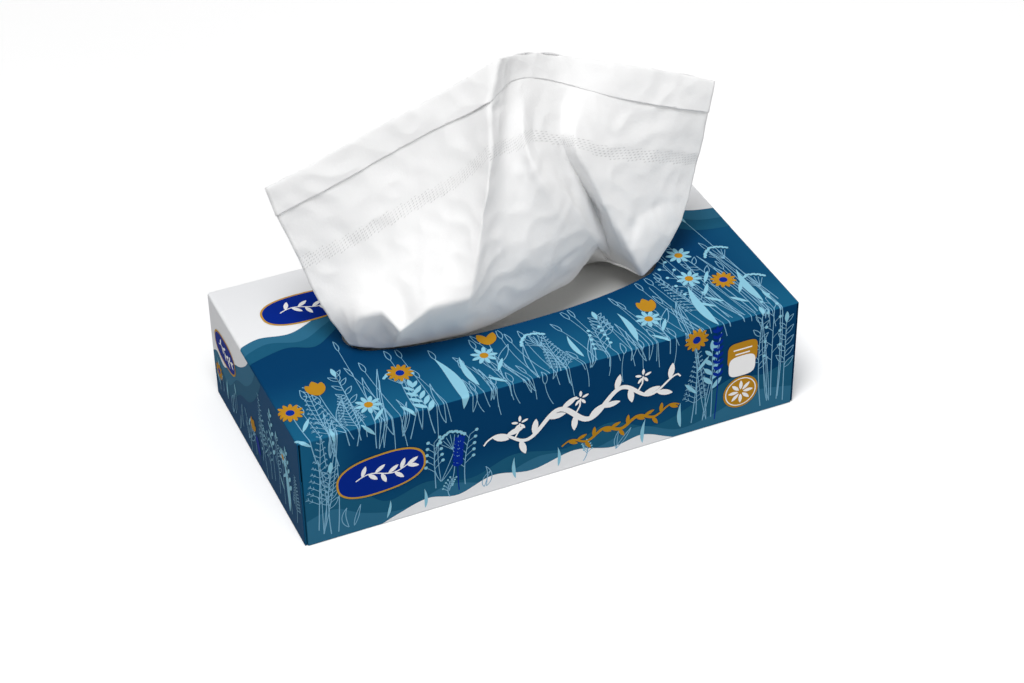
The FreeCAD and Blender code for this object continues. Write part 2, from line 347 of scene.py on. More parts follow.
@dataclass(frozen=True)
class PrintedBoard:
    """White folding boxboard, offset printed in navy and teal under satin varnish, raw grey-white inside."""

    navy: str = "063c66"
    teal: str = "1b6286"
    pale: str = "f1f2f4"
    board: str = "dedbd4"
    varnish_roughness: float = 0.42
    board_roughness: float = 0.88
    # How deep below the carton's outline a face still counts as printed, as an end panel or as top
    printed_depth: float = 0.42 * MM
    end_depth: float = 0.3 * MM
    top_depth: float = 0.5 * MM
    # How far the ink has run round the upright corners, and how far down the back ones are pale
    corner_reach: float = 1.4 * MM
    pale_drop: float = 29 * MM

    def build(self, sizes: Sizes) -> bpy.types.Material:
        """Build the material on Object coordinates.

        Args:
            sizes: the carton's sizes.

        Returns:
            The material.
        """
        material, tree = new_material("varnished_printed_boxboard")
        place = add_node(tree, "ShaderNodeTexCoord").outputs["Object"]
        split = add_node(tree, "ShaderNodeSeparateXYZ", {0: place})
        x, y, z = split.outputs
        # Depth below the carton's outline tells the printed face from the raw inside and cut edges
        lift = maths(tree, "ABSOLUTE", maths(tree, "SUBTRACT", z, sizes.height / 2))
        to_end, to_side, to_top = (
            maths(tree, "SUBTRACT", distance, half)
            for distance, half in ((maths(tree, "ABSOLUTE", x), sizes.length / 2),
                                   (maths(tree, "ABSOLUTE", y), sizes.width / 2), (lift, sizes.height / 2)))
        near = maths(tree, "MAXIMUM", maths(tree, "MAXIMUM", to_end, to_side), to_top)
        # At the ends the ink has run over the cut edges
        at_end = maths(tree, "GREATER_THAN", to_end, -self.corner_reach)
        printed = maths(tree, "MAXIMUM", maths(tree, "GREATER_THAN", near, -self.printed_depth), at_end)
        ground = blend(tree, self.fade(tree, sizes, (x, y, z), to_end), linear(self.navy), linear(self.teal))
        # The two back corners are pale like the fields around them
        at_back = maths(tree, "GREATER_THAN", y, sizes.width / 2 - self.corner_reach)
        upper = maths(tree, "GREATER_THAN", z, sizes.height - self.pale_drop)
        corner = maths(tree, "MULTIPLY", maths(tree, "MULTIPLY", at_end, at_back), upper)
        ground = blend(tree, corner, ground, linear(self.pale))
        colour = blend(tree, printed, linear(self.board), ground)
        rough = slope(tree, printed, 0.0, 1.0, self.board_roughness, self.varnish_roughness)
        shader = add_node(tree, "ShaderNodeBsdfPrincipled",
                          {"Base Color": colour, "Roughness": rough, "IOR": 1.5, "Specular IOR Level": 0.01,
                           "Normal": board_fibre(tree, place)})
        add_node(tree, "ShaderNodeOutputMaterial", {0: shader.outputs[0]})
        return material

    def fade(self, tree: bpy.types.NodeTree, sizes: Sizes, place: Sequence[bpy.types.NodeSocket],
             to_end: bpy.types.NodeSocket) -> bpy.types.NodeSocket:
        """Run the ground from navy to teal towards the top's front edge, the left and the foot.

        Args:
            tree: the material's nodes.
            sizes: the carton's sizes.
            place: x, y and z.
            to_end: distance past the nearer end, negative inside.

        Returns:
            The teal's share.
        """
        x, y, z = place
        front = slope(tree, y, -sizes.width / 2, -sizes.width * 0.1, 0.85, 0.0, "SMOOTHSTEP")
        right = slope(tree, x, sizes.length * 0.38, sizes.length / 2, 0.0, 0.4, "SMOOTHSTEP")
        left = slope(tree, x, -sizes.length / 2, -sizes.length * 0.36, 0.8, 0.0, "SMOOTHSTEP")
        foot = slope(tree, z, 0.0, sizes.height * 0.55, 0.55, 0.0, "SMOOTHSTEP")
        # The end panels themselves are mostly navy
        end_panel = maths(tree, "GREATER_THAN", to_end, -self.end_depth)
        keep = slope(tree, end_panel, 0.0, 1.0, 1.0, 0.25)
        side = maths(tree, "MULTIPLY", maths(tree, "MAXIMUM", left, foot), keep)
        on_top = maths(tree, "GREATER_THAN", z, sizes.height - self.top_depth)
        return add_node(tree, "ShaderNodeMix", {"Factor": on_top, "A": side,
                                                "B": maths(tree, "MAXIMUM", front, right)}).outputs[0]


@dataclass(frozen=True)
class DriedGlue:
    """Dried white dispersion glue between two layers of card: cream, slightly glossy."""

    colour: str = "e4dcc2"
    ripple: float = 3 * MM

    def build(self) -> bpy.types.Material:
        """Build the material on Object coordinates.

        Returns:
            The material.
        """
        material, tree = new_material("dried_dispersion_glue")
        place = add_node(tree, "ShaderNodeTexCoord").outputs["Object"]
        spread = add_node(tree, "ShaderNodeTexNoise", {"Vector": place, "Scale": 1 / self.ripple,
                                                       "Detail": 2.0})
        bump = add_node(tree, "ShaderNodeBump", {"Height": spread.outputs[0], "Strength": 0.3,
                                                 "Distance": 0.1 * MM})
        shader = add_node(tree, "ShaderNodeBsdfPrincipled",
                          {"Base Color": linear(self.colour), "Roughness": 0.45, "Normal": bump.outputs[0]})
        add_node(tree, "ShaderNodeOutputMaterial", {0: shader.outputs[0]})
        return material


def direction(azimuth: float, elevation: float) -> Vector:
    """Point from the box towards a place around it.

    Args:
        azimuth: its angle round the box in degrees, 0 in front and positive to the right.
        elevation: its angle above the floor, in degrees.

    Returns:
        The unit vector.
    """
    a, e = math.radians(azimuth), math.radians(elevation)
    return Vector((math.sin(a) * math.cos(e), -math.cos(a) * math.cos(e), math.sin(e)))


@dataclass(frozen=True)
class SoftBox:
    """A round soft box: its angles in degrees, its size in metres and its power in watts."""

    name: str
    azimuth: float
    elevation: float
    size: float
    power: float
    distance: float = 1.6
    aim: tuple[float, float, float] = (0.0, 0.0, 0.06)

    def build(self) -> None:
        """Hang the lamp."""
        data = bpy.data.lights.new(self.name, "AREA")
        data.shape = "DISK"
        data.size = self.size
        data.energy = self.power
        lamp = bpy.data.objects.new(self.name, data)
        back = direction(self.azimuth, self.elevation) * self.distance
        turn = (-back).to_track_quat("-Z", "Y").to_matrix().to_4x4()
        lamp.matrix_world = Matrix.Translation(Vector(self.aim) + back) @ turn
        bpy.context.scene.collection.objects.link(lamp)


@dataclass
class Studio:
    """Camera, soft lights and the pale floor."""

    azimuth: float = -23.46
    elevation: float = 37.37
    roll: float = -0.82
    distance: float = 1088.86 * MM
    aim: Vector = field(default_factory=lambda: Vector((4.42 * MM, 0.0, 29.52 * MM)))
    lens: float = 87.09
    sensor: float = 36.0
    # A high key from the front left and a low fill from the front
    lamps: tuple[SoftBox, ...] = (SoftBox("key", -38.0, 68.0, 0.7, 17.2),
                                  SoftBox("fill", 22.0, 20.0, 1.4, 5.8))
    surround: float = 0.31
    floor_reach: float = 6.0
    floor_shown: str = "ffffff"
    floor_lit: str = "d4d4d4"
    floor_glow: float = 0.05

    def build(self) -> None:
        """Make the camera, the lamps, the world and the floor."""
        self.camera()
        for lamp in self.lamps:
            lamp.build()
        self.world()
        self.floor()

    def camera(self) -> None:
        """Put the camera at the photograph's angle."""
        r = math.radians(self.roll)
        back = direction(self.azimuth, self.elevation)
        right = Vector((0, 0, 1)).cross(back).normalized()
        up = back.cross(right)
        rolled_right = right * math.cos(r) + up * math.sin(r)
        rolled_up = up * math.cos(r) - right * math.sin(r)
        data = bpy.data.cameras.new("camera")
        data.lens = self.lens
        data.sensor_width = self.sensor
        data.clip_start = 0.05
        camera = bpy.data.objects.new("camera", data)
        turn = Matrix((rolled_right, rolled_up, back)).transposed().to_4x4()
        camera.matrix_world = Matrix.Translation(self.aim + back * self.distance) @ turn
        bpy.context.scene.collection.objects.link(camera)
        bpy.context.scene.camera = camera

    def world(self) -> None:
        """Give an even white surround, seen as plain white by the camera, in gloss and through glass."""
        world = bpy.data.worlds.new("surround")
        bpy.context.scene.world = world
        world.use_nodes = True
        tree = world.node_tree
        tree.nodes.clear()
        rays = add_node(tree, "ShaderNodeLightPath").outputs
        seen = maths(tree, "MAXIMUM", rays["Is Camera Ray"], rays["Is Glossy Ray"])
        seen = maths(tree, "MAXIMUM", seen, rays["Is Transmission Ray"])
        strength = slope(tree, seen, 0.0, 1.0, self.surround, 1.0)
        light = add_node(tree, "ShaderNodeBackground", {"Color": linear("ffffff"), "Strength": strength})
        add_node(tree, "ShaderNodeOutputWorld", {0: light.outputs[0]})

    def floor(self) -> None:
        """Lay a wide pale floor that throws less light back than it shows."""
        reach = self.floor_reach
        floor = mesh_object("floor", [(-reach, -reach, 0), (reach, -reach, 0), (reach, reach, 0),
                                      (-reach, reach, 0)], [(0, 1, 2, 3)], smooth=False)
        material, tree = new_material("matt_white_floor")
        seen = add_node(tree, "ShaderNodeLightPath").outputs["Is Camera Ray"]
        tone = blend(tree, seen, linear(self.floor_lit), linear(self.floor_shown))
        shader = add_node(tree, "ShaderNodeBsdfDiffuse", {"Color": tone, "Roughness": 0.9})
        # A trace of glow, for the camera alone, keeps the far floor as white as the near one
        glow = maths(tree, "MULTIPLY", seen, self.floor_glow)
        light = add_node(tree, "ShaderNodeEmission", {"Strength": glow})
        both = add_node(tree, "ShaderNodeAddShader", {0: shader.outputs[0], 1: light.outputs[0]})
        add_node(tree, "ShaderNodeOutputMaterial", {0: both.outputs[0]})
        floor.data.materials.append(material)


# The pulled tissue as a net of points chosen over its folds, in millimetres. Each fold line
# runs down the sheet: how sharp it is, then x, y and height above the carton at the top edge, the hem,
# the embossed band, three levels below it, and where the sheet turns under into the mouth.
FOLD_LINES = (
    ("left edge", 0.0,
     ((-98, 14, 76), (-95, 12, 63), (-88, 8, 43), (-85, 4, 29),
      (-81, 0, 19), (-77, -5, 11), (-73, -8, 3))),
    ("left panel", 0.2,
     ((-75, 12, 84), (-73, 9, 72), (-69, 4, 52), (-69, 0, 39),
      (-70, -5, 30), (-74, -15, 23), (-70, -11, 3))),
    ("dimple", 0.55,
     ((-56, 10, 93), (-54, 7, 80), (-52, 1, 62), (-51, -4, 46),
      (-58, -9, 31), (-63, -22, 27), (-62, -12, 0))),
    ("low tip", 0.7,
     ((-40, 8, 99), (-38, 5, 87), (-36, -1, 67), (-40, -7, 49),
      (-50, -18, 34), (-59, -31, 21), (-56, -15, 1))),
    ("facet", 0.3,
     ((-25, 5, 106), (-24, 2, 94), (-23, -4, 75), (-28, -12, 55),
      (-37, -22, 41), (-47, -33, 31), (-43, -14, -2))),
    ("beside the ridge", 0.2,
     ((-12, 1, 114), (-15, -2, 98), (-15, -9, 80), (-21, -18, 60),
      (-28, -25, 44), (-37, -33, 31), (-33, -14, -3))),
    ("ridge", 0.8,
     ((-1, -4, 122), (-9, -9, 106), (-10, -17, 86), (-18, -25, 64),
      (-23, -28, 46), (-28, -32, 29), (-25, -15, -3))),
    ("shaded side", 0.0,
     ((5, 2, 118), (-1, -3, 108), (0, -5, 91), (-5, -13, 65),
      (-9, -19, 42), (-12, -23, 25), (-11, -15, -2))),
    ("cone", 0.0,
     ((13, 7, 115), (7, 2, 107), (3, -6, 92), (4, -14, 68),
      (6, -18, 48), (6, -20, 30), (10, -12, 3))),
    ("cone crest", 0.4,
     ((22, 11, 111), (15, 6, 104), (5, -10, 91), (8, -18, 71),
      (19, -19, 53), (24, -18, 29), (31, -5, 1))),
    ("dent, left", 0.8,
     ((32, 14, 106), (25, 8, 99), (7, -9, 84), (17, -14, 66),
      (29, -15, 47), (40, -11, 22), (52, 12, 5))),
    ("dent, right", 0.6,
     ((41, 14, 102), (34, 9, 94), (24, -4, 77), (36, 1, 54),
      (46, 4, 33), (53, 4, 10), (57, 8, -5))),
    ("second crest", 0.9,
     ((50, 11, 100), (43, 6, 90), (28, -8, 77), (37, -9, 61),
      (43, -11, 43), (52, -12, 19), (60, -4, -1))),
    ("right tip", 0.3,
     ((60, 8, 97), (54, 4, 85), (43, -6, 67), (48, -9, 48),
      (51, -12, 32), (55, -16, 16), (61, -14, 1))),
    ("right panel", 0.0,
     ((73, 6, 93), (67, 2, 80), (62, -4, 59), (66, -5, 40),
      (66, -8, 28), (65, -12, 16), (65, -12, 2))),
    ("beside the edge", 0.0,
     ((87, 4, 88), (82, 1, 74), (80, 0, 51), (80, -3, 35),
      (76, -6, 25), (72, -9, 15), (67, -11, 3))),
    ("right edge", 0.0,
     ((101, 2, 82), (98, 1, 68), (95, 1, 48), (91, 1, 32),
      (87, -2, 23), (81, -5, 14), (70, -9, 3))),
)
# Small pinches that handling left: from and to, x and height above the carton, then width and depth
PINCHES = (
    ((-53, 33), (-59, 19), 2.6, 1.5),
    ((-33, 58), (-31, 39), 5.0, 0.7),
    ((-72, 55), (-63, 44), 4.0, 0.8),
    ((-8, 103), (0, 99), 2.0, 1.0),
    ((6, 76), (5, 68), 1.6, 0.7),
    ((19, 10), (20, 22), 2.2, 1.1),
    ((21, 22), (30, 23), 2.2, 1.1),
    ((15, 6), (29, 11), 1.8, 0.8),
    ((56, 22), (61, 33), 3.5, 1.0),
    ((63, 30), (76, 31), 3.0, 0.8),
)
# Rows of the net, counted with the flap's: the folded edge, the hem, the chin over the mouth, the turn
FOLD_ROW, HEM_ROW, CHIN_ROW, TURN_ROW = 3, 5, 9, 10
# Columns of the net: the ridge, those that the chin's crease joins and those whose folds it sharpens
RIDGE_COLUMN, CHIN_COLUMNS, CHIN_FOLDS = 6, range(1, 6), range(1, 5)
# Rows of the flap: share of the way from the fold to the hem, and height over the sheet in hem gaps
FLAP_ROWS = ((1.0, 1.3), (0.5, 1.0), (0.06, 1.0))


@dataclass
class PulledTissue:
    """The tissue that stands in the mouth: one sheet, its hem folded over, its tail on the stack."""

    sizes: Sizes
    gauge: float = 0.16 * MM
    hem_gap: float = 0.62 * MM
    # From here on in millimetres. A pull is how much narrower and flatter a row is than the turn, and
    # how far back it lies
    throat_drop: float = 3.0
    throat_pull: tuple[float, float, float] = (0.90, 0.45, 8.5)
    foot_pull: tuple[float, float, float] = (0.92, 0.10, 12.0)
    foot_rise: float = 1.2
    # The tail's right part, from where it starts over a stretch along the mouth
    aside_start: float = 15.0
    aside_stretch: float = 20.0
    aside_back: float = 10.0
    aside_rise: float = 4.4
    tail_rise: float = 0.8
    # The tail's rows: spread along the mouth, and how far back as a share of the carton's width
    tail: tuple[Point, ...] = ((1.04, 0.22), (1.14, 0.38))
    # Waves of handling, wide to small: their size and height, and over how much height they set in
    wave_sizes: tuple[float, float, float] = (26.0, 12.0, 5.0)
    wave_heights: tuple[float, float, float] = (1.1, 0.55, 0.17)
    wave_onset: tuple[float, float] = (-2.0, 14.0)
    # Catmull-Clark levels, and the share of faces kept after them
    levels: int = 4
    thinning: float = 0.85

    def net(self) -> Net:
        """Lay out the sheet's rows, from the flap's free edge over the top to the tail.

        Returns:
            Rows of points in millimetres.
        """
        level = self.sizes.height / MM
        stack_top = self.sizes.stack_top / MM
        rows = []
        for step in range(len(FOLD_LINES[0][2])):
            rows.append([Vector((line[step][0], line[step][1], level + line[step][2]))
                         for _, _, line in FOLD_LINES])
        turns = [(p.x, p.y) for p in rows[-1]]
        # The right part of the tail runs further back, close under the mouth's rim, before it lies down
        aside = [min(max((x - self.aside_start) / self.aside_stretch, 0.0), 1.0) for x, _ in turns]
        squeeze, pull, back = self.throat_pull
        rows.append([Vector((x * squeeze, y * pull + back, level - self.throat_drop * (1 - share)))
                     for (x, y), share in zip(turns, aside)])
        squeeze, pull, back = self.foot_pull
        rows.append([Vector((x * squeeze, y * pull + back + self.aside_back * share,
                             stack_top + self.tail_rise + self.foot_rise + self.aside_rise * share))
                     for (x, y), share in zip(turns, aside)])
        for spread, reach in self.tail:
            rows.append([Vector((x * spread, self.sizes.width / MM * reach, stack_top + self.tail_rise))
                         for x, _ in turns])
        return rows

    def with_flap(self, rows: Net) -> Net:
        """Fold the hem over the front: rows of the flap come before the sheet's own.

        Args:
            rows: the sheet's rows.

        Returns:
            The flap's rows, then the sheet's.
        """
        top, hem = rows[0], rows[1]
        gap = self.hem_gap / MM
        flap = []
        for share, lift in FLAP_ROWS:
            line = []
            for column, (a, b) in enumerate(zip(top, hem)):
                along = top[min(column + 1, len(top) - 1)] - top[max(column - 1, 0)]
                front = (b - a).cross(along).normalized()
                line.append(a + (b - a) * share + front * gap * lift)
            flap.append(line)
        # The sheet's own row next to the fold matches the flap's
        close = FLAP_ROWS[-1][0]
        under = [a + (b - a) * close for a, b in zip(top, hem)]
        return flap + [top, under] + rows[1:]

    def build(self, material: bpy.types.Material) -> bpy.types.Object:
        """Build the sheet.

        Args:
            material: the tissue paper.

        Returns:
            The finished piece.
        """
        rows = self.with_flap(self.net())
        across, down = len(rows[0]), len(rows)
        vertices = [p * MM for row in rows for p in row]
        faces = [(i * across + j, (i + 1) * across + j, (i + 1) * across + j + 1, i * across + j + 1)
                 for i in range(down - 1) for j in range(across - 1)]
        sheet = mesh_object("pulled_tissue_sheet", vertices, faces)
        self.lay_out(sheet, rows)
        self.sharpen(sheet, across)
        corners = sheet.data.attributes.new("crease_vert", "FLOAT", "POINT")
        for column in (0, across - 1):
            corners.data[FOLD_ROW * across + column].value = 1.0
        smooth = sheet.modifiers.new("smooth", "SUBSURF")
        smooth.levels = smooth.render_levels = self.levels
        smooth.uv_smooth = "PRESERVE_BOUNDARIES"
        smooth.boundary_smooth = "PRESERVE_CORNERS"
        bake_modifiers(sheet)
        self.crumple(sheet)
        # The smooth tail under the carton's top gives up faces first, so the piece stays light
        thin = sheet.modifiers.new("thin", "DECIMATE")
        thin.ratio = self.thinning
        solid = sheet.modifiers.new("gauge", "SOLIDIFY")
        solid.thickness = self.gauge
        solid.offset = 0.0
        bake_modifiers(sheet)
        sheet.data.materials.append(material)
        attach(sheet, "root")
        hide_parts("pulled_tissue")
        return sheet

    def sharpen(self, sheet: bpy.types.Object, across: int) -> None:
        """Set how sharp each fold line of the net is.

        Args:
            sheet: the net's object.
            across: points in one row of the net.
        """
        crease = sheet.data.attributes.new("crease_edge", "FLOAT", "EDGE")
        for edge in sheet.data.edges:
            (row, column), (other_row, _) = (divmod(v, across) for v in sorted(edge.vertices))
            if other_row == row:
                value = {FOLD_ROW: 1.0, CHIN_ROW: 0.85 if column in CHIN_COLUMNS else 0.0,
                         TURN_ROW: 0.8}.get(row, 0.0)
            elif row == CHIN_ROW and column in CHIN_FOLDS:
                value = 0.8
            elif row < HEM_ROW:
                value = 0.35 if column == RIDGE_COLUMN else 0.0
            else:
                value = FOLD_LINES[column][1] if row < TURN_ROW else 0.0
            crease.data[edge.index].value = value

    def lay_out(self, sheet: bpy.types.Object, rows: Net) -> None:
        """Give the net a UV map in metres: along the hem, and down from the top fold.

        Args:
            sheet: the net's object.
            rows: its rows, in millimetres.
        """
        across = len(rows[0])
        widths = [0.0]
        for column in range(1, across):
            widths.append(widths[-1] + (rows[FOLD_ROW][column] - rows[FOLD_ROW][column - 1]).length)
        downs = [[0.0] * across]
        for row in range(1, len(rows)):
            downs.append([downs[-1][column] + (rows[row][column] - rows[row - 1][column]).length
                          for column in range(across)])
        layer = sheet.data.uv_layers.new(name="sheet")
        for loop in sheet.data.loops:
            row, column = divmod(loop.vertex_index, across)
            down = downs[row][column] - downs[FOLD_ROW][column]
            layer.data[loop.index].uv = (widths[column] * MM, down * MM)

    def pinch(self, place: Vector) -> float:
        """How deep the small pinches go at a place on the sheet.

        Args:
            place: the place, in millimetres.

        Returns:
            Depth in millimetres.
        """
        spot = Vector((place.x, place.z - self.sizes.height / MM))
        depth = 0.0
        for start, end, width, deep in PINCHES:
            way = Vector(end) - Vector(start)
            along = min(max((spot - Vector(start)).dot(way) / way.length_squared, 0.0), 1.0)
            off = (spot - Vector(start) - way * along).length / width
            # Deepest halfway along, about a third as deep at its ends
            depth += deep * math.exp(-off * off) * (0.35 + 0.65 * math.sin(math.pi * along))
        return depth

    def crumple(self, sheet: bpy.types.Object) -> None:
        """Add the soft waves and small creases that handling leaves in the sheet.

        Args:
            sheet: the smooth sheet.
        """
        mesh = sheet.data
        count = len(mesh.vertices)
        points = np.empty(count * 3)
        mesh.vertices.foreach_get("co", points)
        points = points.reshape(-1, 3)
        normals = np.empty(count * 3)
        mesh.vertex_normals.foreach_get("vector", normals)
        normals = normals.reshape(-1, 3)
        # The flap lies back to front on the sheet, so it moves against its own normal
        side = np.ones(count)
        layer = mesh.uv_layers["sheet"].data
        for loop in mesh.loops:
            if layer[loop.index].uv.y < -0.2 * MM:
                side[loop.vertex_index] = -1.0
        lifts = np.empty(count)
        for i, p in enumerate(points):
            q = Vector(p) / MM
            soft, sharp, small = (noise.noise(q / size + shift) for size, shift in
                                  zip(self.wave_sizes, (Vector(), Vector((7, 3, 1)), Vector((1, 9, 4)))))
            # The middle waves have sharp crests
            waves = (soft, 1.0 - abs(sharp) * 2.0, small)
            lift = sum(height * wave for height, wave in zip(self.wave_heights, waves))
            lifts[i] = (lift - self.pinch(q)) * MM
        # What lies inside the carton stays smooth
        below, reach = self.wave_onset
        hold = np.clip((points[:, 2] / MM - self.sizes.height / MM - below) / reach, 0.0, 1.0)
        points += normals * (lifts * hold * side)[:, None]
        mesh.vertices.foreach_set("co", points.ravel())
        mesh.update()


class Ink(Enum):
    """The inks of the print: colour and layer, lowest first."""

    TEAL = ("1d5a79", 1)
    MIST = ("306c8b", 2)
    WHITE = ("f1f2f4", 3)
    LINE = ("7fb2cf", 4)
    SKY = ("8cc6dc", 5)
    GOLD = ("b98623", 6)
    ROYAL = ("0a2f96", 7)
    RIM = ("c4953a", 8)
    BADGE = ("08298a", 9)
    PLATE = ("b98624", 10)
    PALE = ("f6f6f6", 11)


class Face(Enum):
    """The flat charts that artwork is drawn on, in millimetres."""

    SLEEVE = "sleeve"
    LEFT_END = "left_end"
    RIGHT_END = "right_end"


class Stamp(Enum):
    """Small repeated shapes: breadth against length, how pointed, and how many corners."""

    LEAF = (0.36, 0.75, 14)
    NARROW_LEAF = (0.2, 0.8, 12)
    PETAL = (0.42, 0.25, 14)
    CUP = (0.5, 0.6, 14)
    DOT = (1.0, 0.0, 14)


@dataclass(frozen=True)
class InkFilm:
    """Offset ink under the varnish: one plain colour, satin, with the board's fibre showing through."""

    ink: Ink
    roughness: float = 0.42

    def build(self) -> bpy.types.Material:
        """Build the material on Object coordinates.

        Returns:
            The material.
        """
        material, tree = new_material("varnished_ink_" + self.ink.name.lower())
        place = add_node(tree, "ShaderNodeTexCoord").outputs["Object"]
        shader = add_node(tree, "ShaderNodeBsdfPrincipled",
                          {"Base Color": linear(self.ink.value[0]), "Roughness": self.roughness, "IOR": 1.5,
                           "Specular IOR Level": 0.01, "Normal": board_fibre(tree, place)})
        add_node(tree, "ShaderNodeOutputMaterial", {0: shader.outputs[0]})
        return material


def new_group(name: str, inputs: Sequence[tuple[str, str, Any]]
              ) -> tuple[bpy.types.NodeTree, dict[str, bpy.types.NodeSocket]]:
    """Start a geometry node group that takes a geometry, some values and a material, and gives a geometry.

    Args:
        name: the group's name.
        inputs: name, socket type and default of each value.

    Returns:
        The group and its inputs, by name.
    """
    tree = bpy.data.node_groups.new(name, "GeometryNodeTree")
    tree.interface.new_socket("Geometry", in_out="INPUT", socket_type="NodeSocketGeometry")
    for label, kind, default in inputs:
        tree.interface.new_socket(label, in_out="INPUT", socket_type=kind).default_value = default
    tree.interface.new_socket("Material", in_out="INPUT", socket_type="NodeSocketMaterial")
    tree.interface.new_socket("Geometry", in_out="OUTPUT", socket_type="NodeSocketGeometry")
    return tree, {socket.name: socket for socket in add_node(tree, "NodeGroupInput").outputs}


def end_group(tree: bpy.types.NodeTree, shapes: bpy.types.NodeSocket, material: bpy.types.NodeSocket) -> None:
    """End a node group: make its instances real and give them the material.

    Args:
        tree: the group.
        shapes: what it has made.
        material: its material input.
    """
    done = add_node(tree, "GeometryNodeRealizeInstances", {0: shapes})
    inked = add_node(tree, "GeometryNodeSetMaterial", {"Geometry": done.outputs[0], "Material": material})
    add_node(tree, "NodeGroupOutput", {0: inked.outputs[0]})


def stroke_tree() -> bpy.types.NodeTree:
    """A node group that turns chains of edges into flat ribbons, as wide as their breadth attribute.

    Returns:
        The node group.
    """
    tree, given = new_group("drawn_strokes", (("Line width", "NodeSocketFloat", 1.0),))
    breadth = add_node(tree, "GeometryNodeInputNamedAttribute", {"Name": "breadth"}, data_type="FLOAT")
    width = maths(tree, "MULTIPLY", breadth.outputs["Attribute"], given["Line width"])
    chain = add_node(tree, "GeometryNodeMeshToCurve", {"Mesh": given["Geometry"]})
    upright = add_node(tree, "GeometryNodeSetCurveNormal", {"Curve": chain.outputs[0]}, mode="Z_UP")
    sized = add_node(tree, "GeometryNodeSetCurveRadius", {"Curve": upright.outputs[0], "Radius": width})
    nib = add_node(tree, "GeometryNodeCurvePrimitiveLine", {"Start": (-0.5, 0, 0), "End": (0.5, 0, 0)})
    radius = add_node(tree, "GeometryNodeInputRadius")
    ribbon = add_node(tree, "GeometryNodeCurveToMesh", {"Curve": sized.outputs[0], "Scale": radius.outputs[0],
                                                        "Profile Curve": nib.outputs[0]})
    end_group(tree, ribbon.outputs[0], given["Material"])
    return tree


def stamp_tree() -> bpy.types.NodeTree:
    """A node group that puts one flat leaf shape on every point, turned and sized by attributes.

    Returns:
        The node group.
    """
    tree, given = new_group("print_stamps", (("Breadth", "NodeSocketFloat", 0.4),
                                             ("Pointedness", "NodeSocketFloat", 0.5),
                                             ("Corners", "NodeSocketInt", 12)))
    disc = add_node(tree, "GeometryNodeMeshCircle", {"Vertices": given["Corners"], "Radius": 0.5},
                    fill_type="NGON")
    spot = add_node(tree, "GeometryNodeInputPosition")
    split = add_node(tree, "ShaderNodeSeparateXYZ", {0: spot.outputs[0]}).outputs
    # y shrinks towards both tips, by a power of its own size, so a disc becomes a leaf
    size = maths(tree, "MULTIPLY", maths(tree, "ABSOLUTE", split["Y"]), 2.0)
    high = maths(tree, "MULTIPLY", split["Y"], maths(tree, "POWER", size, given["Pointedness"]))
    high = maths(tree, "MULTIPLY", high, given["Breadth"])
    place = add_node(tree, "ShaderNodeCombineXYZ", {"X": maths(tree, "ADD", split["X"], 0.5), "Y": high})
    leaf = add_node(tree, "GeometryNodeSetPosition", {"Geometry": disc.outputs[0],
                                                      "Position": place.outputs[0]})
    turn, grow = (add_node(tree, "GeometryNodeInputNamedAttribute", {"Name": name},
                           data_type="FLOAT").outputs["Attribute"] for name in ("turn", "grow"))
    spin = add_node(tree, "ShaderNodeCombineXYZ", {"Z": turn})
    scale = add_node(tree, "ShaderNodeCombineXYZ", {"X": grow, "Y": grow, "Z": 1.0})
    points = add_node(tree, "GeometryNodeMeshToPoints", {"Mesh": given["Geometry"]})
    copies = add_node(tree, "GeometryNodeInstanceOnPoints",
                      {"Points": points.outputs[0], "Instance": leaf.outputs[0], "Rotation": spin.outputs[0],
                       "Scale": scale.outputs[0]})
    end_group(tree, copies.outputs[0], given["Material"])
    return tree


def run_tree(obj: bpy.types.Object, tree: bpy.types.NodeTree, values: dict[str, Any]) -> None:
    """Run a geometry node group on an object and keep its result as the plain mesh.

    Args:
        obj: the object.
        tree: the node group.
        values: input name to value.
    """
    modifier = obj.modifiers.new(tree.name, "NODES")
    modifier.node_group = tree
    for item in tree.interface.items_tree:
        if item.item_type == "SOCKET" and item.in_out == "INPUT" and item.name in values:
            modifier[item.identifier] = values[item.name]
    bake_modifiers(obj)


def smooth_line(points: Sequence[Point], steps: int = 8) -> list[Point]:
    """Draw a smooth line through points.

    Args:
        points: the points, in order.
        steps: pieces between two points.

    Returns:
        The line's points.
    """
    ends = [points[0]] + list(points) + [points[-1]]
    line = []
    for i in range(len(points) - 1):
        p0, p1, p2, p3 = (np.array(p, float) for p in ends[i:i + 4])
        for k in range(steps):
            u = k / steps
            line.append(tuple(0.5 * (2 * p1 + (p2 - p0) * u + (2 * p0 - 5 * p1 + 4 * p2 - p3) * u ** 2
                                     + (3 * p1 - p0 - 3 * p2 + p3) * u ** 3)))
    return line + [tuple(points[-1])]


def stem_line(root: Point, tip: Point, bend: float, steps: int = 14) -> list[Point]:
    """Lay a stem from root to tip that bows sideways.

    Args:
        root: its foot.
        tip: its end.
        bend: how far it bows, in millimetres.
        steps: its pieces.

    Returns:
        The stem's points.
    """
    (x0, y0), (x1, y1) = root, tip
    mid = ((x0 + x1) / 2 + bend, (y0 + y1) / 2)
    return [((1 - u) ** 2 * x0 + 2 * u * (1 - u) * mid[0] + u * u * x1,
             (1 - u) ** 2 * y0 + 2 * u * (1 - u) * mid[1] + u * u * y1)
            for u in (i / steps for i in range(steps + 1))]


def heading(line: Sequence[Point], i: int) -> float:
    """Tell the direction of a line at one of its points.

    Args:
        line: the line.
        i: the point's number.

    Returns:
        The direction in radians.
    """
    a, b = line[max(i - 1, 0)], line[min(i + 1, len(line) - 1)]
    return math.atan2(b[1] - a[1], b[0] - a[0])


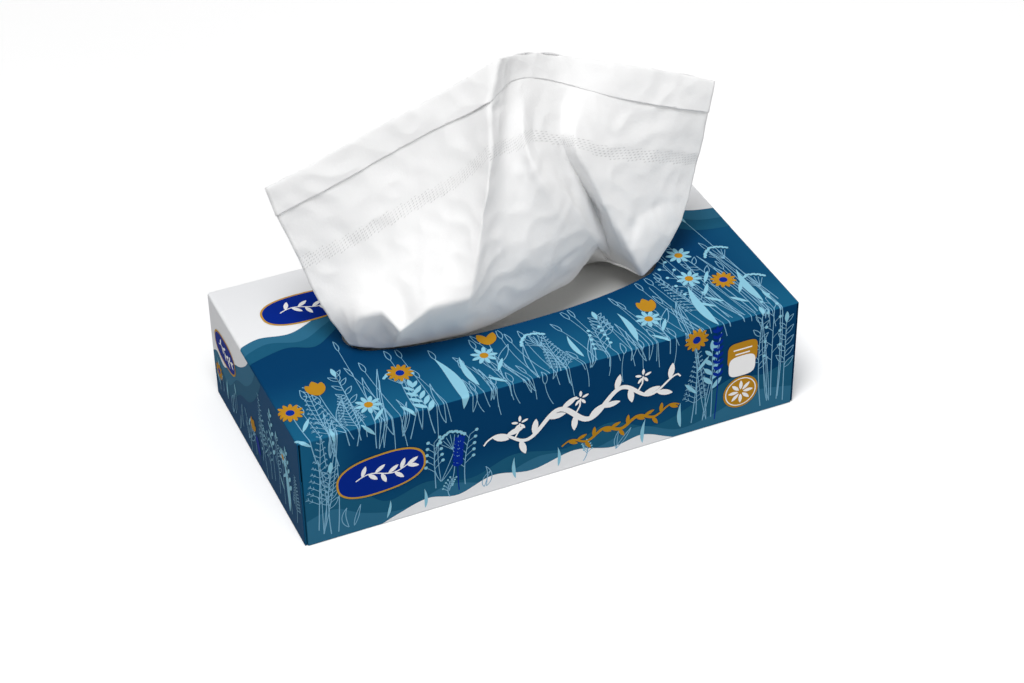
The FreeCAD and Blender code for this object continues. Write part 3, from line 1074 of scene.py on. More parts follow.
def beyond(spot: Point, turn: float, reach: float) -> Point:
    """Go from a spot in a direction.

    Args:
        spot: where it starts.
        turn: the direction, in radians.
        reach: how far.

    Returns:
        The point reached.
    """
    return (spot[0] + math.cos(turn) * reach, spot[1] + math.sin(turn) * reach)


class Artwork:
    """Flat artwork, gathered by face and ink before it is wrapped onto the carton."""

    height_steps = 16
    height_step = 0.0017

    def __init__(self) -> None:
        """Start with an empty sheet."""
        self.fills: dict[tuple[Face, Ink], list[tuple[list[Point], float]]] = {}
        self.strokes: dict[tuple[Face, Ink], list[tuple[list[Point], list[float], float]]] = {}
        self.stamps: dict[tuple[Face, Ink, Stamp], list[tuple[Point, float, float, float]]] = {}
        self.count = 0

    def height(self) -> float:
        """Give each shape a height of its own, so that no two neighbours of one ink lie in one plane."""
        self.count += 1
        return (self.count % self.height_steps) * self.height_step

    def fill(self, face: Face, ink: Ink, outline: Sequence[Point]) -> None:
        """Add a filled outline."""
        self.fills.setdefault((face, ink), []).append((list(outline), self.height()))

    def stroke(self, face: Face, ink: Ink, line: Sequence[Point], start: float = 0.36,
               end: float | None = None) -> None:
        """Add a pen line whose width runs from start to end.

        Args:
            face: the chart.
            ink: its ink.
            line: its points.
            start: its width at the start, in millimetres.
            end: its width at the end, the same as at the start if not given.
        """
        end = start if end is None else end
        last = max(len(line) - 1, 1)
        widths = [start + (end - start) * i / last for i in range(len(line))]
        self.strokes.setdefault((face, ink), []).append((list(line), widths, self.height()))

    def swell(self, face: Face, ink: Ink, line: Sequence[Point], thin: float, thick: float) -> None:
        """Add a pen line that is thin at both ends and thick in between.

        Args:
            face: the chart.
            ink: its ink.
            line: its points.
            thin: its width at the ends, in millimetres.
            thick: its width in the middle.
        """
        last = max(len(line) - 1, 1)
        widths = [thin + (thick - thin) * math.sin(math.pi * i / last) ** 1.3 for i in range(len(line))]
        self.strokes.setdefault((face, ink), []).append((list(line), widths, self.height()))

    def stamp(self, face: Face, ink: Ink, kind: Stamp, spot: Point, turn: float, size: float) -> None:
        """Add a stamp that starts at a point and reaches size along its turn, in radians."""
        self.stamps.setdefault((face, ink, kind), []).append((spot, turn, size, self.height()))

    def disc(self, face: Face, ink: Ink, centre: Point, across: float) -> None:
        """Add a round dot."""
        self.stamp(face, ink, Stamp.DOT, (centre[0] - across / 2, centre[1]), 0.0, across)


class Plant(Enum):
    """Kinds of plants in the meadow."""

    REED = "reed"
    BLADE = "blade"
    OPEN_BLADE = "open_blade"
    SPRIG = "sprig"
    OPEN_SPRIG = "open_sprig"
    BERRIES = "berries"
    DAISY = "daisy"
    GOLD_DAISY = "gold_daisy"
    TULIP = "tulip"
    FERN = "fern"
    SPIKE = "spike"
    UMBEL = "umbel"
    GRASS = "grass"
    STALK = "stalk"


@dataclass(frozen=True)
class Stem:
    """One plant's stem: what grows on it, its points from foot to tip, and how tall it is."""

    kind: Plant
    line: list[Point]
    height: float

    @property
    def root(self) -> Point:
        """Its foot."""
        return self.line[0]

    @property
    def tip(self) -> Point:
        """Its end."""
        return self.line[-1]

    @property
    def top(self) -> float:
        """The way it points at its tip, in radians."""
        return heading(self.line, len(self.line) - 1)

    def rest(self, start: int) -> Iterable[int]:
        """Numbers of its points from one of them to the tip."""
        return range(start, len(self.line))

    def share(self, i: int) -> float:
        """How far up one of its points is."""
        return i / len(self.line)


class Meadow:
    """A made-up meadow of leafy sprigs, reeds, ferns, daisies and tulips. Sizes are in millimetres."""

    stem_width = (0.46, 0.3)
    outline_width = 0.34

    def __init__(self, art: Artwork, face: Face, up: float = 1.0, seed: int = 7, scale: float = 1.0) -> None:
        """Mark out a meadow.

        Args:
            art: the artwork it is drawn in.
            face: the chart it grows on.
            up: 1 where it grows up the chart, -1 where it grows down.
            seed: seed of its random draws.
            scale: how large its leaves and flowers are.
        """
        self.art = art
        self.face = face
        self.up = up
        self.scale = scale
        self.random = random.Random(seed)

    def plant(self, kind: Plant, root: Point, height: float, lean: float) -> None:
        """Draw one plant.

        Args:
            kind: what grows.
            root: its foot on the face.
            height: how tall it is.
            lean: how far its tip stands to the right of its foot.
        """
        tip = (root[0] + lean, root[1] + self.up * height)
        stem = Stem(kind, stem_line(root, tip, self.random.uniform(-3.0, 3.0)), height)
        bare = {Plant.BLADE: self.blade, Plant.OPEN_BLADE: self.blade, Plant.GRASS: self.grass,
                Plant.STALK: self.stalk}
        stemmed = {Plant.REED: self.reed, Plant.SPRIG: self.sprig, Plant.OPEN_SPRIG: self.sprig,
                   Plant.BERRIES: self.berries, Plant.DAISY: self.daisy, Plant.GOLD_DAISY: self.daisy,
                   Plant.TULIP: self.tulip, Plant.FERN: self.fern, Plant.SPIKE: self.spike,
                   Plant.UMBEL: self.umbel}
        if kind in bare:
            bare[kind](stem)
            return
        ink = Ink.ROYAL if kind is Plant.SPIKE else Ink.LINE
        self.art.stroke(self.face, ink, stem.line, *self.stem_width)
        stemmed[kind](stem)

    def lens(self, ink: Ink, line: Sequence[Point], breadth: float, outline: bool) -> None:
        """Draw a long leaf along a line.

        Args:
            ink: its ink.
            line: its middle line.
            breadth: how broad it is.
            outline: whether only its outline is drawn.
        """
        last = len(line) - 1
        sides: list[list[Point]] = [[], []]
        for i, (x, y) in enumerate(line):
            turn = heading(line, i)
            half = breadth / 2 * math.sin(math.pi * (i / last) ** 0.8)
            for side, sign in zip(sides, (1, -1)):
                side.append((x - math.sin(turn) * half * sign, y + math.cos(turn) * half * sign))
        if outline:
            for side in sides:
                self.art.stroke(self.face, ink, side, self.outline_width)
        else:
            self.art.fill(self.face, ink, sides[0] + sides[1][-2:0:-1])

    def leaf(self, spot: Point, turn: float, reach: float, bend: float, breadth: float) -> None:
        """Draw one leaf in outline.

        Args:
            spot: where it starts.
            turn: where it points, in radians.
            reach: its length.
            bend: how far it bows.
            breadth: how broad it is.
        """
        self.lens(Ink.LINE, stem_line(spot, beyond(spot, turn, reach), bend, 8), breadth, True)

    def stamp(self, ink: Ink, kind: Stamp, spot: Point, turn: float, size: float) -> None:
        """Add a stamp at the meadow's scale."""
        self.art.stamp(self.face, ink, kind, spot, turn, size * self.scale)

    def disc(self, ink: Ink, centre: Point, across: float) -> None:
        """Add a dot at the meadow's scale."""
        self.art.disc(self.face, ink, centre, across * self.scale)

    def blade(self, stem: Stem) -> None:
        """Draw one broad blade, filled or in outline.

        Args:
            stem: its stem, which only tells its ends.
        """
        line = stem_line(stem.root, stem.tip, self.random.choice((-1, 1)) * stem.height * 0.12)
        if stem.kind is Plant.BLADE:
            self.lens(Ink.SKY, line, stem.height * 0.14, False)
        else:
            self.lens(Ink.LINE, line, stem.height * 0.1, True)

    def grass(self, stem: Stem) -> None:
        """Draw two thin blades in outline.

        Args:
            stem: its stem, which only tells its ends.
        """
        rnd = self.random
        for _ in range(2):
            foot = (stem.root[0] + rnd.uniform(-1.5, 1.5), stem.root[1])
            tip = (stem.tip[0] + rnd.uniform(-7, 7),
                   stem.root[1] + self.up * stem.height * rnd.uniform(0.7, 1.0))
            self.lens(Ink.LINE, stem_line(foot, tip, rnd.uniform(-4, 4)), rnd.uniform(1.2, 2.2), True)

    def stalk(self, stem: Stem) -> None:
        """Draw a thin stalk with a bud in outline.

        Args:
            stem: its stem.
        """
        self.art.stroke(self.face, Ink.LINE, stem.line, self.outline_width, 0.24)
        self.leaf(stem.tip, stem.top, 5.5 * self.scale, 0.6, self.random.uniform(1.4, 2.4))

    def reed(self, stem: Stem) -> None:
        """Put one narrow leaf on the tip.

        Args:
            stem: its stem.
        """
        self.stamp(Ink.SKY, Stamp.NARROW_LEAF, stem.tip, stem.top, 6.5)

    def sprig(self, stem: Stem) -> None:
        """Put leaves on both sides by turns, filled or in outline, and one on the tip.

        Args:
            stem: its stem.
        """
        for i in stem.rest(6):
            turn = heading(stem.line, i) + (0.72 if i % 2 else -0.72)
            length = 5.6 * (1.15 - stem.share(i) * 0.5)
            if stem.kind is Plant.SPRIG:
                self.stamp(Ink.SKY, Stamp.LEAF, stem.line[i], turn, length)
            else:
                self.leaf(stem.line[i], turn, length * self.scale, 0.0, length * self.scale * 0.34)
        self.stamp(Ink.SKY, Stamp.LEAF, stem.tip, stem.top, 4.6)

    def berries(self, stem: Stem) -> None:
        """Put berries on short twigs on both sides by turns.

        Args:
            stem: its stem.
        """
        for i in stem.rest(5):
            side = 1 if i % 2 else -1
            reach = 4.6 * self.scale * (1.1 - stem.share(i) * 0.55)
            end = beyond(stem.line[i], heading(stem.line, i) + side * 0.8, reach)
            self.art.stroke(self.face, Ink.LINE, stem_line(stem.line[i], end, 0.4 * side, 4), 0.3)
            self.disc(Ink.SKY, end, 1.25)

    def daisy(self, stem: Stem) -> None:
        """Put a ring of petals round a heart, and two narrow leaves below.

        Args:
            stem: its stem.
        """
        petal, heart, count = {Plant.DAISY: (Ink.SKY, Ink.GOLD, 9),
                               Plant.GOLD_DAISY: (Ink.GOLD, Ink.ROYAL, 12)}[stem.kind]
        first = self.random.uniform(0, math.pi)
        for i in range(count):
            turn = first + 2 * math.pi * i / count
            self.stamp(petal, Stamp.PETAL, beyond(stem.tip, turn, 0.9 * self.scale), turn, 3.6)
        self.disc(heart, stem.tip, 2.9)
        for i, side in ((4, 1), (8, -1)):
            self.stamp(Ink.SKY, Stamp.NARROW_LEAF, stem.line[i], heading(stem.line, i) + side * 0.7, 7.0)

    def tulip(self, stem: Stem) -> None:
        """Put a cup of three petals on the tip, and two long leaves in outline below.

        Args:
            stem: its stem.
        """
        for turn, size in ((-0.42, 6.8), (0.42, 6.8), (0.0, 7.6)):
            self.stamp(Ink.GOLD, Stamp.CUP, stem.tip, stem.top + turn, size)
        for i, side in ((3, 1), (6, -1)):
            turn = heading(stem.line, i) + side * 0.55
            self.leaf(stem.line[i], turn, 11 * self.scale, 0.8, 2.4 * self.scale)

    def fern(self, stem: Stem) -> None:
        """Put forked fronds on both sides, shorter towards the tip.

        Args:
            stem: its stem.
        """
        for i in stem.rest(4):
            for side in (1, -1):
                turn = heading(stem.line, i) + side * 0.95
                reach = 6.4 * self.scale * (1.12 - stem.share(i))
                frond = stem_line(stem.line[i], beyond(stem.line[i], turn, reach), 0.0, 5)
                self.art.stroke(self.face, Ink.LINE, frond, 0.34, 0.22)
                for share in (0.5, 0.8):
                    middle = beyond(stem.line[i], turn, reach * share)
                    for fork in (0.7, -0.7):
                        twig = beyond(middle, turn + fork, reach * 0.22)
                        self.art.stroke(self.face, Ink.LINE, [middle, twig], 0.26)

    def spike(self, stem: Stem) -> None:
        """Put pairs of small blossoms close together up to the tip.

        Args:
            stem: its stem.
        """
        for i in stem.rest(7):
            for side in (1, -1):
                self.stamp(Ink.ROYAL, Stamp.CUP, stem.line[i], heading(stem.line, i) + side * 0.8, 2.6)
        self.stamp(Ink.ROYAL, Stamp.CUP, stem.tip, stem.top, 2.6)

    def umbel(self, stem: Stem) -> None:
        """Spread a fan of rays from the tip, each with three buds.

        Args:
            stem: its stem.
        """
        for i in range(-3, 4):
            turn = stem.top + i * 0.24
            end = beyond(stem.tip, turn, (6.6 - abs(i) * 0.4) * self.scale)
            self.art.stroke(self.face, Ink.LINE, stem_line(stem.tip, end, 0.0, 4), 0.28)
            for fork in (-0.5, 0.0, 0.5):
                self.disc(Ink.SKY, beyond(end, turn + fork, 1.3 * self.scale), 1.05)


@dataclass(frozen=True)
class Bed:
    """A stretch of the sleeve's chart where plants grow in turn, in millimetres."""

    start: float
    end: float
    count: int
    feet: Point
    heights: Point
    leans: Point
    kinds: tuple[Plant, ...]


# All kinds by turns, for the back, the ends and the small growth along the front's foot
MIXED_KINDS = (Plant.FERN, Plant.OPEN_BLADE, Plant.BERRIES, Plant.GOLD_DAISY, Plant.GRASS, Plant.SPRIG,
               Plant.REED, Plant.TULIP, Plant.OPEN_SPRIG, Plant.BLADE, Plant.UMBEL, Plant.DAISY, Plant.GRASS,
               Plant.SPIKE, Plant.BLADE, Plant.REED, Plant.FERN, Plant.SPRIG, Plant.OPEN_BLADE, Plant.BERRIES)
# The front and the top's front strip, span by span
FRONT_BEDS = (
    # Left of the front, under the badge and beside it
    Bed(-110, -98, 4, (3, 10), (30, 70), (-2, 4), (Plant.FERN, Plant.GRASS, Plant.OPEN_SPRIG, Plant.REED)),
    Bed(-58, -40, 5, (6, 14), (14, 30), (-3, 3), (Plant.BERRIES, Plant.GRASS, Plant.UMBEL, Plant.SPIKE)),
    # Over the badge, up the top's left
    Bed(-110, -84, 4, (42, 50), (26, 34), (-4, 8), (Plant.GOLD_DAISY, Plant.GRASS, Plant.TULIP, Plant.FERN)),
    Bed(-106, -62, 4, (40, 46), (36, 50), (0, 9),
        (Plant.FERN, Plant.OPEN_SPRIG, Plant.GRASS, Plant.GOLD_DAISY)),
    Bed(-84, -40, 7, (40, 50), (24, 40), (-4, 4),
        (Plant.DAISY, Plant.OPEN_BLADE, Plant.GRASS, Plant.UMBEL, Plant.SPRIG, Plant.OPEN_BLADE,
         Plant.BLADE)),
    # Along the mouth's front
    Bed(-44, 66, 12, (46, 52), (20, 32), (-5, 5),
        (Plant.OPEN_BLADE, Plant.GRASS, Plant.DAISY, Plant.GRASS, Plant.OPEN_BLADE, Plant.FERN, Plant.GRASS,
         Plant.BERRIES)),
    Bed(-40, 70, 9, (52, 60), (16, 24), (-4, 4),
        (Plant.BLADE, Plant.TULIP, Plant.OPEN_BLADE, Plant.UMBEL, Plant.BLADE, Plant.OPEN_SPRIG)),
    # Thin stalks between them, leaning left
    Bed(-106, -46, 10, (38, 50), (22, 60), (-8, 2), (Plant.STALK,)),
    Bed(-40, 72, 20, (44, 56), (22, 40), (-9, -3), (Plant.STALK,)),
    Bed(66, 110, 11, (44, 58), (30, 70), (-16, -6), (Plant.STALK,)),
    Bed(-38, 60, 12, (38, 46), (10, 18), (-4, 1), (Plant.STALK,)),
    # Right of the front, between the vine and the tab, and past the tab
    Bed(62, 78, 5, (3, 10), (34, 50), (-3, 3),
        (Plant.FERN, Plant.GOLD_DAISY, Plant.GRASS, Plant.SPRIG, Plant.SPIKE)),
    Bed(98, 111, 6, (3, 8), (40, 74), (-2, 2),
        (Plant.OPEN_SPRIG, Plant.GRASS, Plant.BERRIES, Plant.REED, Plant.UMBEL)),
    # Up the top's right
    Bed(66, 108, 7, (50, 58), (44, 76), (-12, -2),
        (Plant.REED, Plant.FERN, Plant.BERRIES, Plant.DAISY, Plant.OPEN_SPRIG, Plant.GRASS, Plant.REED)),
    Bed(72, 110, 6, (54, 64), (24, 40), (-8, 2),
        (Plant.BLADE, Plant.DAISY, Plant.GRASS, Plant.GOLD_DAISY, Plant.BLADE, Plant.UMBEL)),
)


def oval(centre: Point, across: float, high: float, turn: float = 0.0, power: float = 2.5,
         steps: int = 56) -> list[Point]:
    """Lay out a rounded oval.

    Args:
        centre: its middle.
        across: its width.
        high: its height.
        turn: how far it is turned, in radians.
        power: 2 for an ellipse, more for squarer sides.
        steps: its corners.

    Returns:
        The outline.
    """
    outline = []
    for i in range(steps):
        a = 2 * math.pi * i / steps
        x = math.copysign(abs(math.cos(a)) ** (2 / power), math.cos(a)) * across / 2
        y = math.copysign(abs(math.sin(a)) ** (2 / power), math.sin(a)) * high / 2
        outline.append((centre[0] + x * math.cos(turn) - y * math.sin(turn),
                        centre[1] + x * math.sin(turn) + y * math.cos(turn)))
    return outline


@dataclass
class CartonPrint:
    """All the print on the carton, drawn flat, then wrapped over its faces a hair above the card.

    Lengths are in millimetres. The sleeve's chart has the carton's x, and its y runs up the front, over
    the top and down the back. The charts of the ends have the carton's y across and its z up.
    """

    sizes: Sizes
    art: Artwork = field(default_factory=Artwork)
    strokes: bpy.types.NodeTree = field(default_factory=stroke_tree)
    stamps: bpy.types.NodeTree = field(default_factory=stamp_tree)
    fold_radius: float = 0.9
    first_lift: float = 0.05
    layer_lift: float = 0.028
    # How far the print stays short of the sleeve's foot, of its ends, and of the end panels' foot
    foot_margin: float = 0.4
    end_margin: float = 1.35
    end_foot_margin: float = 0.6
    # The mouth is where two ellipses overlap: half length and half width of each
    mouth_ellipses: tuple[Point, Point] = ((80.0, 20.0), (73.5, 26.0))
    mouth_margin: float = 0.6
    # Plants rooted higher than this, and this near the middle, end this far short of the mouth
    reaching_foot: float = 38.0
    reaching_span: float = 76.0
    mouth_clearance: float = 7.5

    @property
    def half(self) -> float:
        """Half the carton's length."""
        return self.sizes.length / MM / 2

    @property
    def wide(self) -> float:
        """The carton's width."""
        return self.sizes.width / MM

    @property
    def high(self) -> float:
        """The carton's height."""
        return self.sizes.height / MM

    def build(self) -> list[bpy.types.Object]:
        """Draw the artwork and make one piece for each ink.

        Returns:
            The finished pieces.
        """
        self.draw_sky()
        self.draw_ground()
        self.draw_end_fields()
        self.draw_meadows()
        self.draw_badges()
        self.draw_vine()
        self.draw_scroll()
        self.draw_tab()
        self.draw_medallion()
        return [self.piece(ink) for ink in Ink]

    def draw_sky(self) -> None:
        """Draw the pale sky at the top's back and over the back fold, with two hills before it."""
        end, back = self.half + 2, self.high + self.wide
        for ink, drop, left, right, points in (
                (Ink.TEAL, 10, 45, 42,
                 ((-end, 112), (-98, 117), (-86, 113), (-76, 119), (-66, 127), (-50, 134), (-20, 137),
                  (10, 135), (40, 138), (66, 133), (84, 133), (99, 122), (end, 118))),
                (Ink.MIST, 5, 39, 36,
                 ((-end, 118), (-104, 123), (-90, 119), (-78, 125), (-66, 132), (-50, 139), (-20, 142),
                  (10, 140), (40, 144), (66, 139), (86, 140), (103, 129), (end, 126))),
                (Ink.WHITE, 0, 32, 26,
                 ((-end, 124), (-106, 128), (-92, 126), (-76, 133), (-52, 142), (-20, 147), (10, 144),
                  (40, 149), (68, 145), (88, 146), (104, 137), (end, 134)))):
            # Over the back fold, the fields end in a line of their own
            under = ((end, right), (90, 15 + drop), (60, 18 + drop), (20, 12 + drop), (-30, 18 + drop),
                     (-70, 13 + drop), (-96, 20 + drop), (-end, left))
            foot = smooth_line([(x, back + y) for x, y in under])
            self.art.fill(Face.SLEEVE, ink, smooth_line(points) + foot)

    def draw_ground(self) -> None:
        """Draw the pale ground along the foot of the front, with two hills behind it."""
        end = self.half + 2
        for ink, points in (
                (Ink.TEAL, ((-end, 25), (-104, 29), (-90, 22), (-78, 12), (-60, 16), (-40, 11), (-20, 17),
                            (4, 12), (24, 19), (46, 10), (66, 16), (84, 24), (100, 21), (end, 28))),
                (Ink.MIST, ((-end, 12), (-102, 16), (-88, 9), (-70, 5), (-50, 11), (-30, 6), (-8, 12),
                            (16, 7), (38, 12), (58, 4), (76, 7), (94, 13), (end, 9))),
                (Ink.WHITE, ((-84, -1), (-74, 3), (-60, 7), (-46, 4), (-30, 9), (-12, 5.5), (8, 9.5), (26, 5),
                             (40, 7), (52, 2), (58, -1)))):
            line = smooth_line(points)
            self.art.fill(Face.SLEEVE, ink, line + [(line[-1][0], -1), (line[0][0], -1)])

    def draw_end_fields(self) -> None:
        """Draw the fields of the ends: pale at the back and top, hills below."""
        reach = self.wide / 2 + 1
        for face, sign, shift in ((Face.LEFT_END, 1, 0), (Face.RIGHT_END, -1, -20)):
            for ink, points in (
                    (Ink.TEAL, ((-reach, 10), (-46, 16), (-34, 13), (-20, 25), (-6, 31), (6, 43), (14, 56))),
                    (Ink.MIST, ((-reach, 16), (-48, 22), (-36, 19), (-23, 31), (-10, 37), (0, 46), (6, 56))),
                    (Ink.WHITE, ((-reach, 23), (-50, 28), (-40, 26), (-27, 37), (-16, 43), (-7, 50),
                                 (-2, 56)))):
                line = smooth_line(points)
                self.art.fill(face, ink, [((x + shift) * sign, y) for x, y in line + [(-reach, 56)]])

    def draw_meadows(self) -> None:
        """Plant the meadows over the front, the top's front half, the back and the ends."""
        meadow = Meadow(self.art, Face.SLEEVE, seed=11, scale=1.3)
        rnd = meadow.random
        for bed in FRONT_BEDS:
            for i in range(bed.count):
                s = bed.start + (bed.end - bed.start) * (i + 0.5) / bed.count + rnd.uniform(-1.2, 1.2)
                foot = rnd.uniform(*bed.feet)
                lean = rnd.uniform(*bed.leans)
                height = rnd.uniform(*bed.heights)
                if foot > self.reaching_foot and abs(s + lean) < self.reaching_span:
                    height = min(height, self.mouth_edge(s + lean) - foot - self.mouth_clearance)
                meadow.plant(bed.kinds[i % len(bed.kinds)], (s, foot), height, lean)
        # Small growth along the foot of the front
        meadow = Meadow(self.art, Face.SLEEVE, seed=21, scale=0.7)
        rnd = meadow.random
        for i in range(11):
            meadow.plant(MIXED_KINDS[(i * 5 + 4) % len(MIXED_KINDS)],
                         (-92 + 15 * i + rnd.uniform(-3, 3), rnd.uniform(2, 5)), rnd.uniform(9, 14),
                         rnd.uniform(-2, 2))
        # The back panel, foot at its lower edge
        meadow = Meadow(self.art, Face.SLEEVE, up=-1.0, seed=5)
        rnd = meadow.random
        count, reach, bottom = 34, self.half - 7, 2 * self.high + self.wide
        for i in range(count):
            s = -reach + 2 * reach * (i + 0.5) / count + rnd.uniform(-1.5, 1.5)
            meadow.plant(MIXED_KINDS[(i * 3) % len(MIXED_KINDS)], (s, bottom - rnd.uniform(2, 8)),
                         rnd.uniform(16, 30), rnd.uniform(-4, 4))
        for face, seed in ((Face.LEFT_END, 3), (Face.RIGHT_END, 9)):
            meadow = Meadow(self.art, face, seed=seed)
            rnd = meadow.random
            count, reach = 20, self.wide / 2 - 5
            for i in range(count):
                u = -reach + 2 * reach * (i + 0.5) / count + rnd.uniform(-1.2, 1.2)
                # Plants grow tall on the front half, and stay low under the pale back
                tall = u > 4 if face is Face.LEFT_END else u < -4
                meadow.plant(MIXED_KINDS[(i * 3 + seed) % len(MIXED_KINDS)], (u, rnd.uniform(2, 10)),
                             rnd.uniform(20, 36) if tall else rnd.uniform(8, 16), rnd.uniform(-3, 3))

    def mouth_edge(self, s: float, grow: float = 0.0) -> float:
        """How far up the sleeve the mouth's front edge is: the nearer of its two ellipses.

        Args:
            s: place along the carton's length.
            grow: margin around the mouth.

        Returns:
            Height on the chart; the chart's middle line past the mouth's tips.
        """
        reaches = [(half_width + grow) * math.sqrt(max(0.0, 1 - (s / (half_length + grow)) ** 2))
                   for half_length, half_width in self.mouth_ellipses]
        return self.high + self.wide / 2 - min(reaches)

    def draw_badges(self) -> None:
        """Draw the badges of the front, the top and the ends."""
        self.badge(Face.SLEEVE, (-80, 28), 38, 19, 0.06)
        self.badge(Face.SLEEVE, (-80, 141), 38, 19)
        self.badge(Face.LEFT_END, (-37, 36), 26, 13)
        self.badge(Face.RIGHT_END, (37, 36), 26, 13)

    def badge(self, face: Face, centre: Point, across: float, high: float, turn: float = 0.0) -> None:
        """Draw a plain royal-blue badge with its gold rim and a white twig.

        Args:
            face: the chart.
            centre: its middle.
            across: its width.
            high: its height.
            turn: how far it is turned, in radians.
        """
        rim, steps = 0.9, 16
        self.art.fill(face, Ink.RIM, oval(centre, across + 2 * rim, high + 2 * rim, turn))
        self.art.fill(face, Ink.BADGE, oval(centre, across, high, turn))
        c, s = math.cos(turn), math.sin(turn)
        # The twig rolls once up and down on its way across
        rolling = [(across * 0.3 * (2 * u / steps - 1), math.sin(u / steps * math.pi * 2) * high * 0.09)
                   for u in range(steps + 1)]
        twig = [(centre[0] + x * c - y * s, centre[1] + x * s + y * c) for x, y in rolling]
        self.art.stroke(face, Ink.PALE, twig, 0.55)
        for i in range(2, steps + 1, 2):
            side = 1 if i % 4 else -1
            self.art.stamp(face, Ink.PALE, Stamp.LEAF, twig[i], heading(twig, i) + side * 0.85, high * 0.3)
        self.art.stamp(face, Ink.PALE, Stamp.LEAF, twig[-1], heading(twig, steps), high * 0.3)

    def draw_vine(self) -> None:
        """Draw the white vine: a rolling line with leaves and small flowers."""
        art, face = self.art, Face.SLEEVE
        steps, start, length, foot, rise, roll = 72, -34, 92, 26.5, 7, 5.5
        vine = [(start + length * u,
                 foot + rise * u + roll * math.sin(u * math.pi * 6.2 + 0.6) * math.sin(math.pi * u) ** 0.3)
                for u in (i / steps for i in range(steps + 1))]
        art.swell(face, Ink.PALE, vine, 0.8, 2.6)
        for i in range(3, steps - 1, 5):
            side = 1 if (i // 5) % 2 else -1
            art.stamp(face, Ink.PALE, Stamp.LEAF, vine[i], heading(vine, i) + side * 0.8, 8.5)
        for i, height in ((11, 7.5), (33, 8.0), (56, 7.5)):
            x, y = vine[i]
            centre = (x + 2.5, y + height)
            art.stroke(face, Ink.PALE, [vine[i], (x + 2.2, y + height * 0.5), centre], 0.8)
            for petal in range(5):
                turn = 2 * math.pi * petal / 5 + 0.3
                art.stamp(face, Ink.PALE, Stamp.PETAL, beyond(centre, turn, 0.8), turn, 3.2)

    def draw_scroll(self) -> None:
        """Draw the gold scroll under the vine."""
        steps, start, length, foot, rise, roll = 56, 2, 56, 13.5, 4.5, 1.8
        scroll = [(start + length * u, foot + rise * u + roll * math.sin(u * math.pi * 7))
                  for u in (i / steps for i in range(steps + 1))]
        self.art.swell(Face.SLEEVE, Ink.GOLD, scroll, 0.7, 1.7)
        for i in range(3, steps - 1, 4):
            side = 1 if (i // 4) % 2 else -1
            turn = heading(scroll, i) + side * 0.85
            self.art.stamp(Face.SLEEVE, Ink.GOLD, Stamp.LEAF, scroll[i], turn, 5.2)

    def draw_tab(self) -> None:
        """Draw the gold tab over a white one, with two plain lines."""
        art, face, x = self.art, Face.SLEEVE, 88
        art.fill(face, Ink.PALE, oval((x, 29.5), 13, 11, power=3.5))
        art.fill(face, Ink.PLATE, oval((x, 36), 14.5, 13, power=4.5))
        art.stroke(face, Ink.PALE, [(x - 4.5, 38.6), (x + 4.5, 38.6)], 0.7)
        art.stroke(face, Ink.PALE, [(x - 3.5, 36.2), (x + 3.5, 36.2)], 0.7)

    def draw_medallion(self) -> None:
        """Draw the gold medallion with a ring and a rosette of leaves."""
        art, face, centre, leaves = self.art, Face.SLEEVE, (88, 15.0), 8
        art.fill(face, Ink.PLATE, oval(centre, 17, 17, power=2.0))
        ring = oval(centre, 14.6, 14.6, power=2.0)
        art.stroke(face, Ink.PALE, ring + ring[:1], 0.5)
        for i in range(leaves):
            turn = 2 * math.pi / leaves * i
            art.stamp(face, Ink.PALE, Stamp.LEAF, beyond(centre, turn, 1.2), turn, 4.9)

    def flat(self, face: Face, ink: Ink, material: bpy.types.Material) -> bmesh.types.BMesh:
        """Gather one ink's artwork on one face as a flat mesh.

        Args:
            face: the chart.
            ink: the ink.
            material: its material.

        Returns:
            The mesh, in millimetres.
        """
        gathered = bmesh.new()
        for outline, height in self.art.fills.get((face, ink), []):
            gathered.faces.new([gathered.verts.new((x, y, height)) for x, y in outline])
        bmesh.ops.triangulate(gathered, faces=gathered.faces[:])
        lines = self.art.strokes.get((face, ink), [])
        if lines:
            vertices = [(x, y, height) for line, _, height in lines for x, y in line]
            edges, first = [], 0
            for line, _, _ in lines:
                edges += [(first + i, first + i + 1) for i in range(len(line) - 1)]
                first += len(line)
            breadths = [breadth for _, widths, _ in lines for breadth in widths]
            self.add_result(gathered, vertices, edges, {"breadth": breadths}, self.strokes,
                            {"Line width": 1.0, "Material": material})
        for kind in Stamp:
            spots = self.art.stamps.get((face, ink, kind), [])
            if spots:
                breadth, pointed, corners = kind.value
                self.add_result(gathered, [(x, y, height) for (x, y), _, _, height in spots], [],
                                {"turn": [turn for _, turn, _, _ in spots],
                                 "grow": [size for _, _, size, _ in spots]},
                                self.stamps, {"Breadth": breadth, "Pointedness": pointed, "Corners": corners,
                                              "Material": material})
        return gathered

    @staticmethod
    def add_result(gathered: bmesh.types.BMesh, vertices: Sequence[Sequence[float]],
                   edges: Sequence[tuple[int, int]], numbers: dict[str, list[float]],
                   tree: bpy.types.NodeTree, values: dict[str, Any]) -> None:
        """Run a node group on points or lines and add what it makes to the gathered artwork.

        Args:
            gathered: the artwork.
            vertices: the points.
            edges: the lines between them.
            numbers: name to one number for each point.
            tree: the node group.
            values: its inputs.
        """
        mesh = bpy.data.meshes.new("drawing")
        mesh.from_pydata(vertices, edges, [])
        for name, column in numbers.items():
            mesh.attributes.new(name, "FLOAT", "POINT").data.foreach_set("value", column)
        obj = bpy.data.objects.new("drawing", mesh)
        bpy.context.scene.collection.objects.link(obj)
        run_tree(obj, tree, values)
        gathered.from_mesh(obj.data)
        bpy.data.objects.remove(obj)

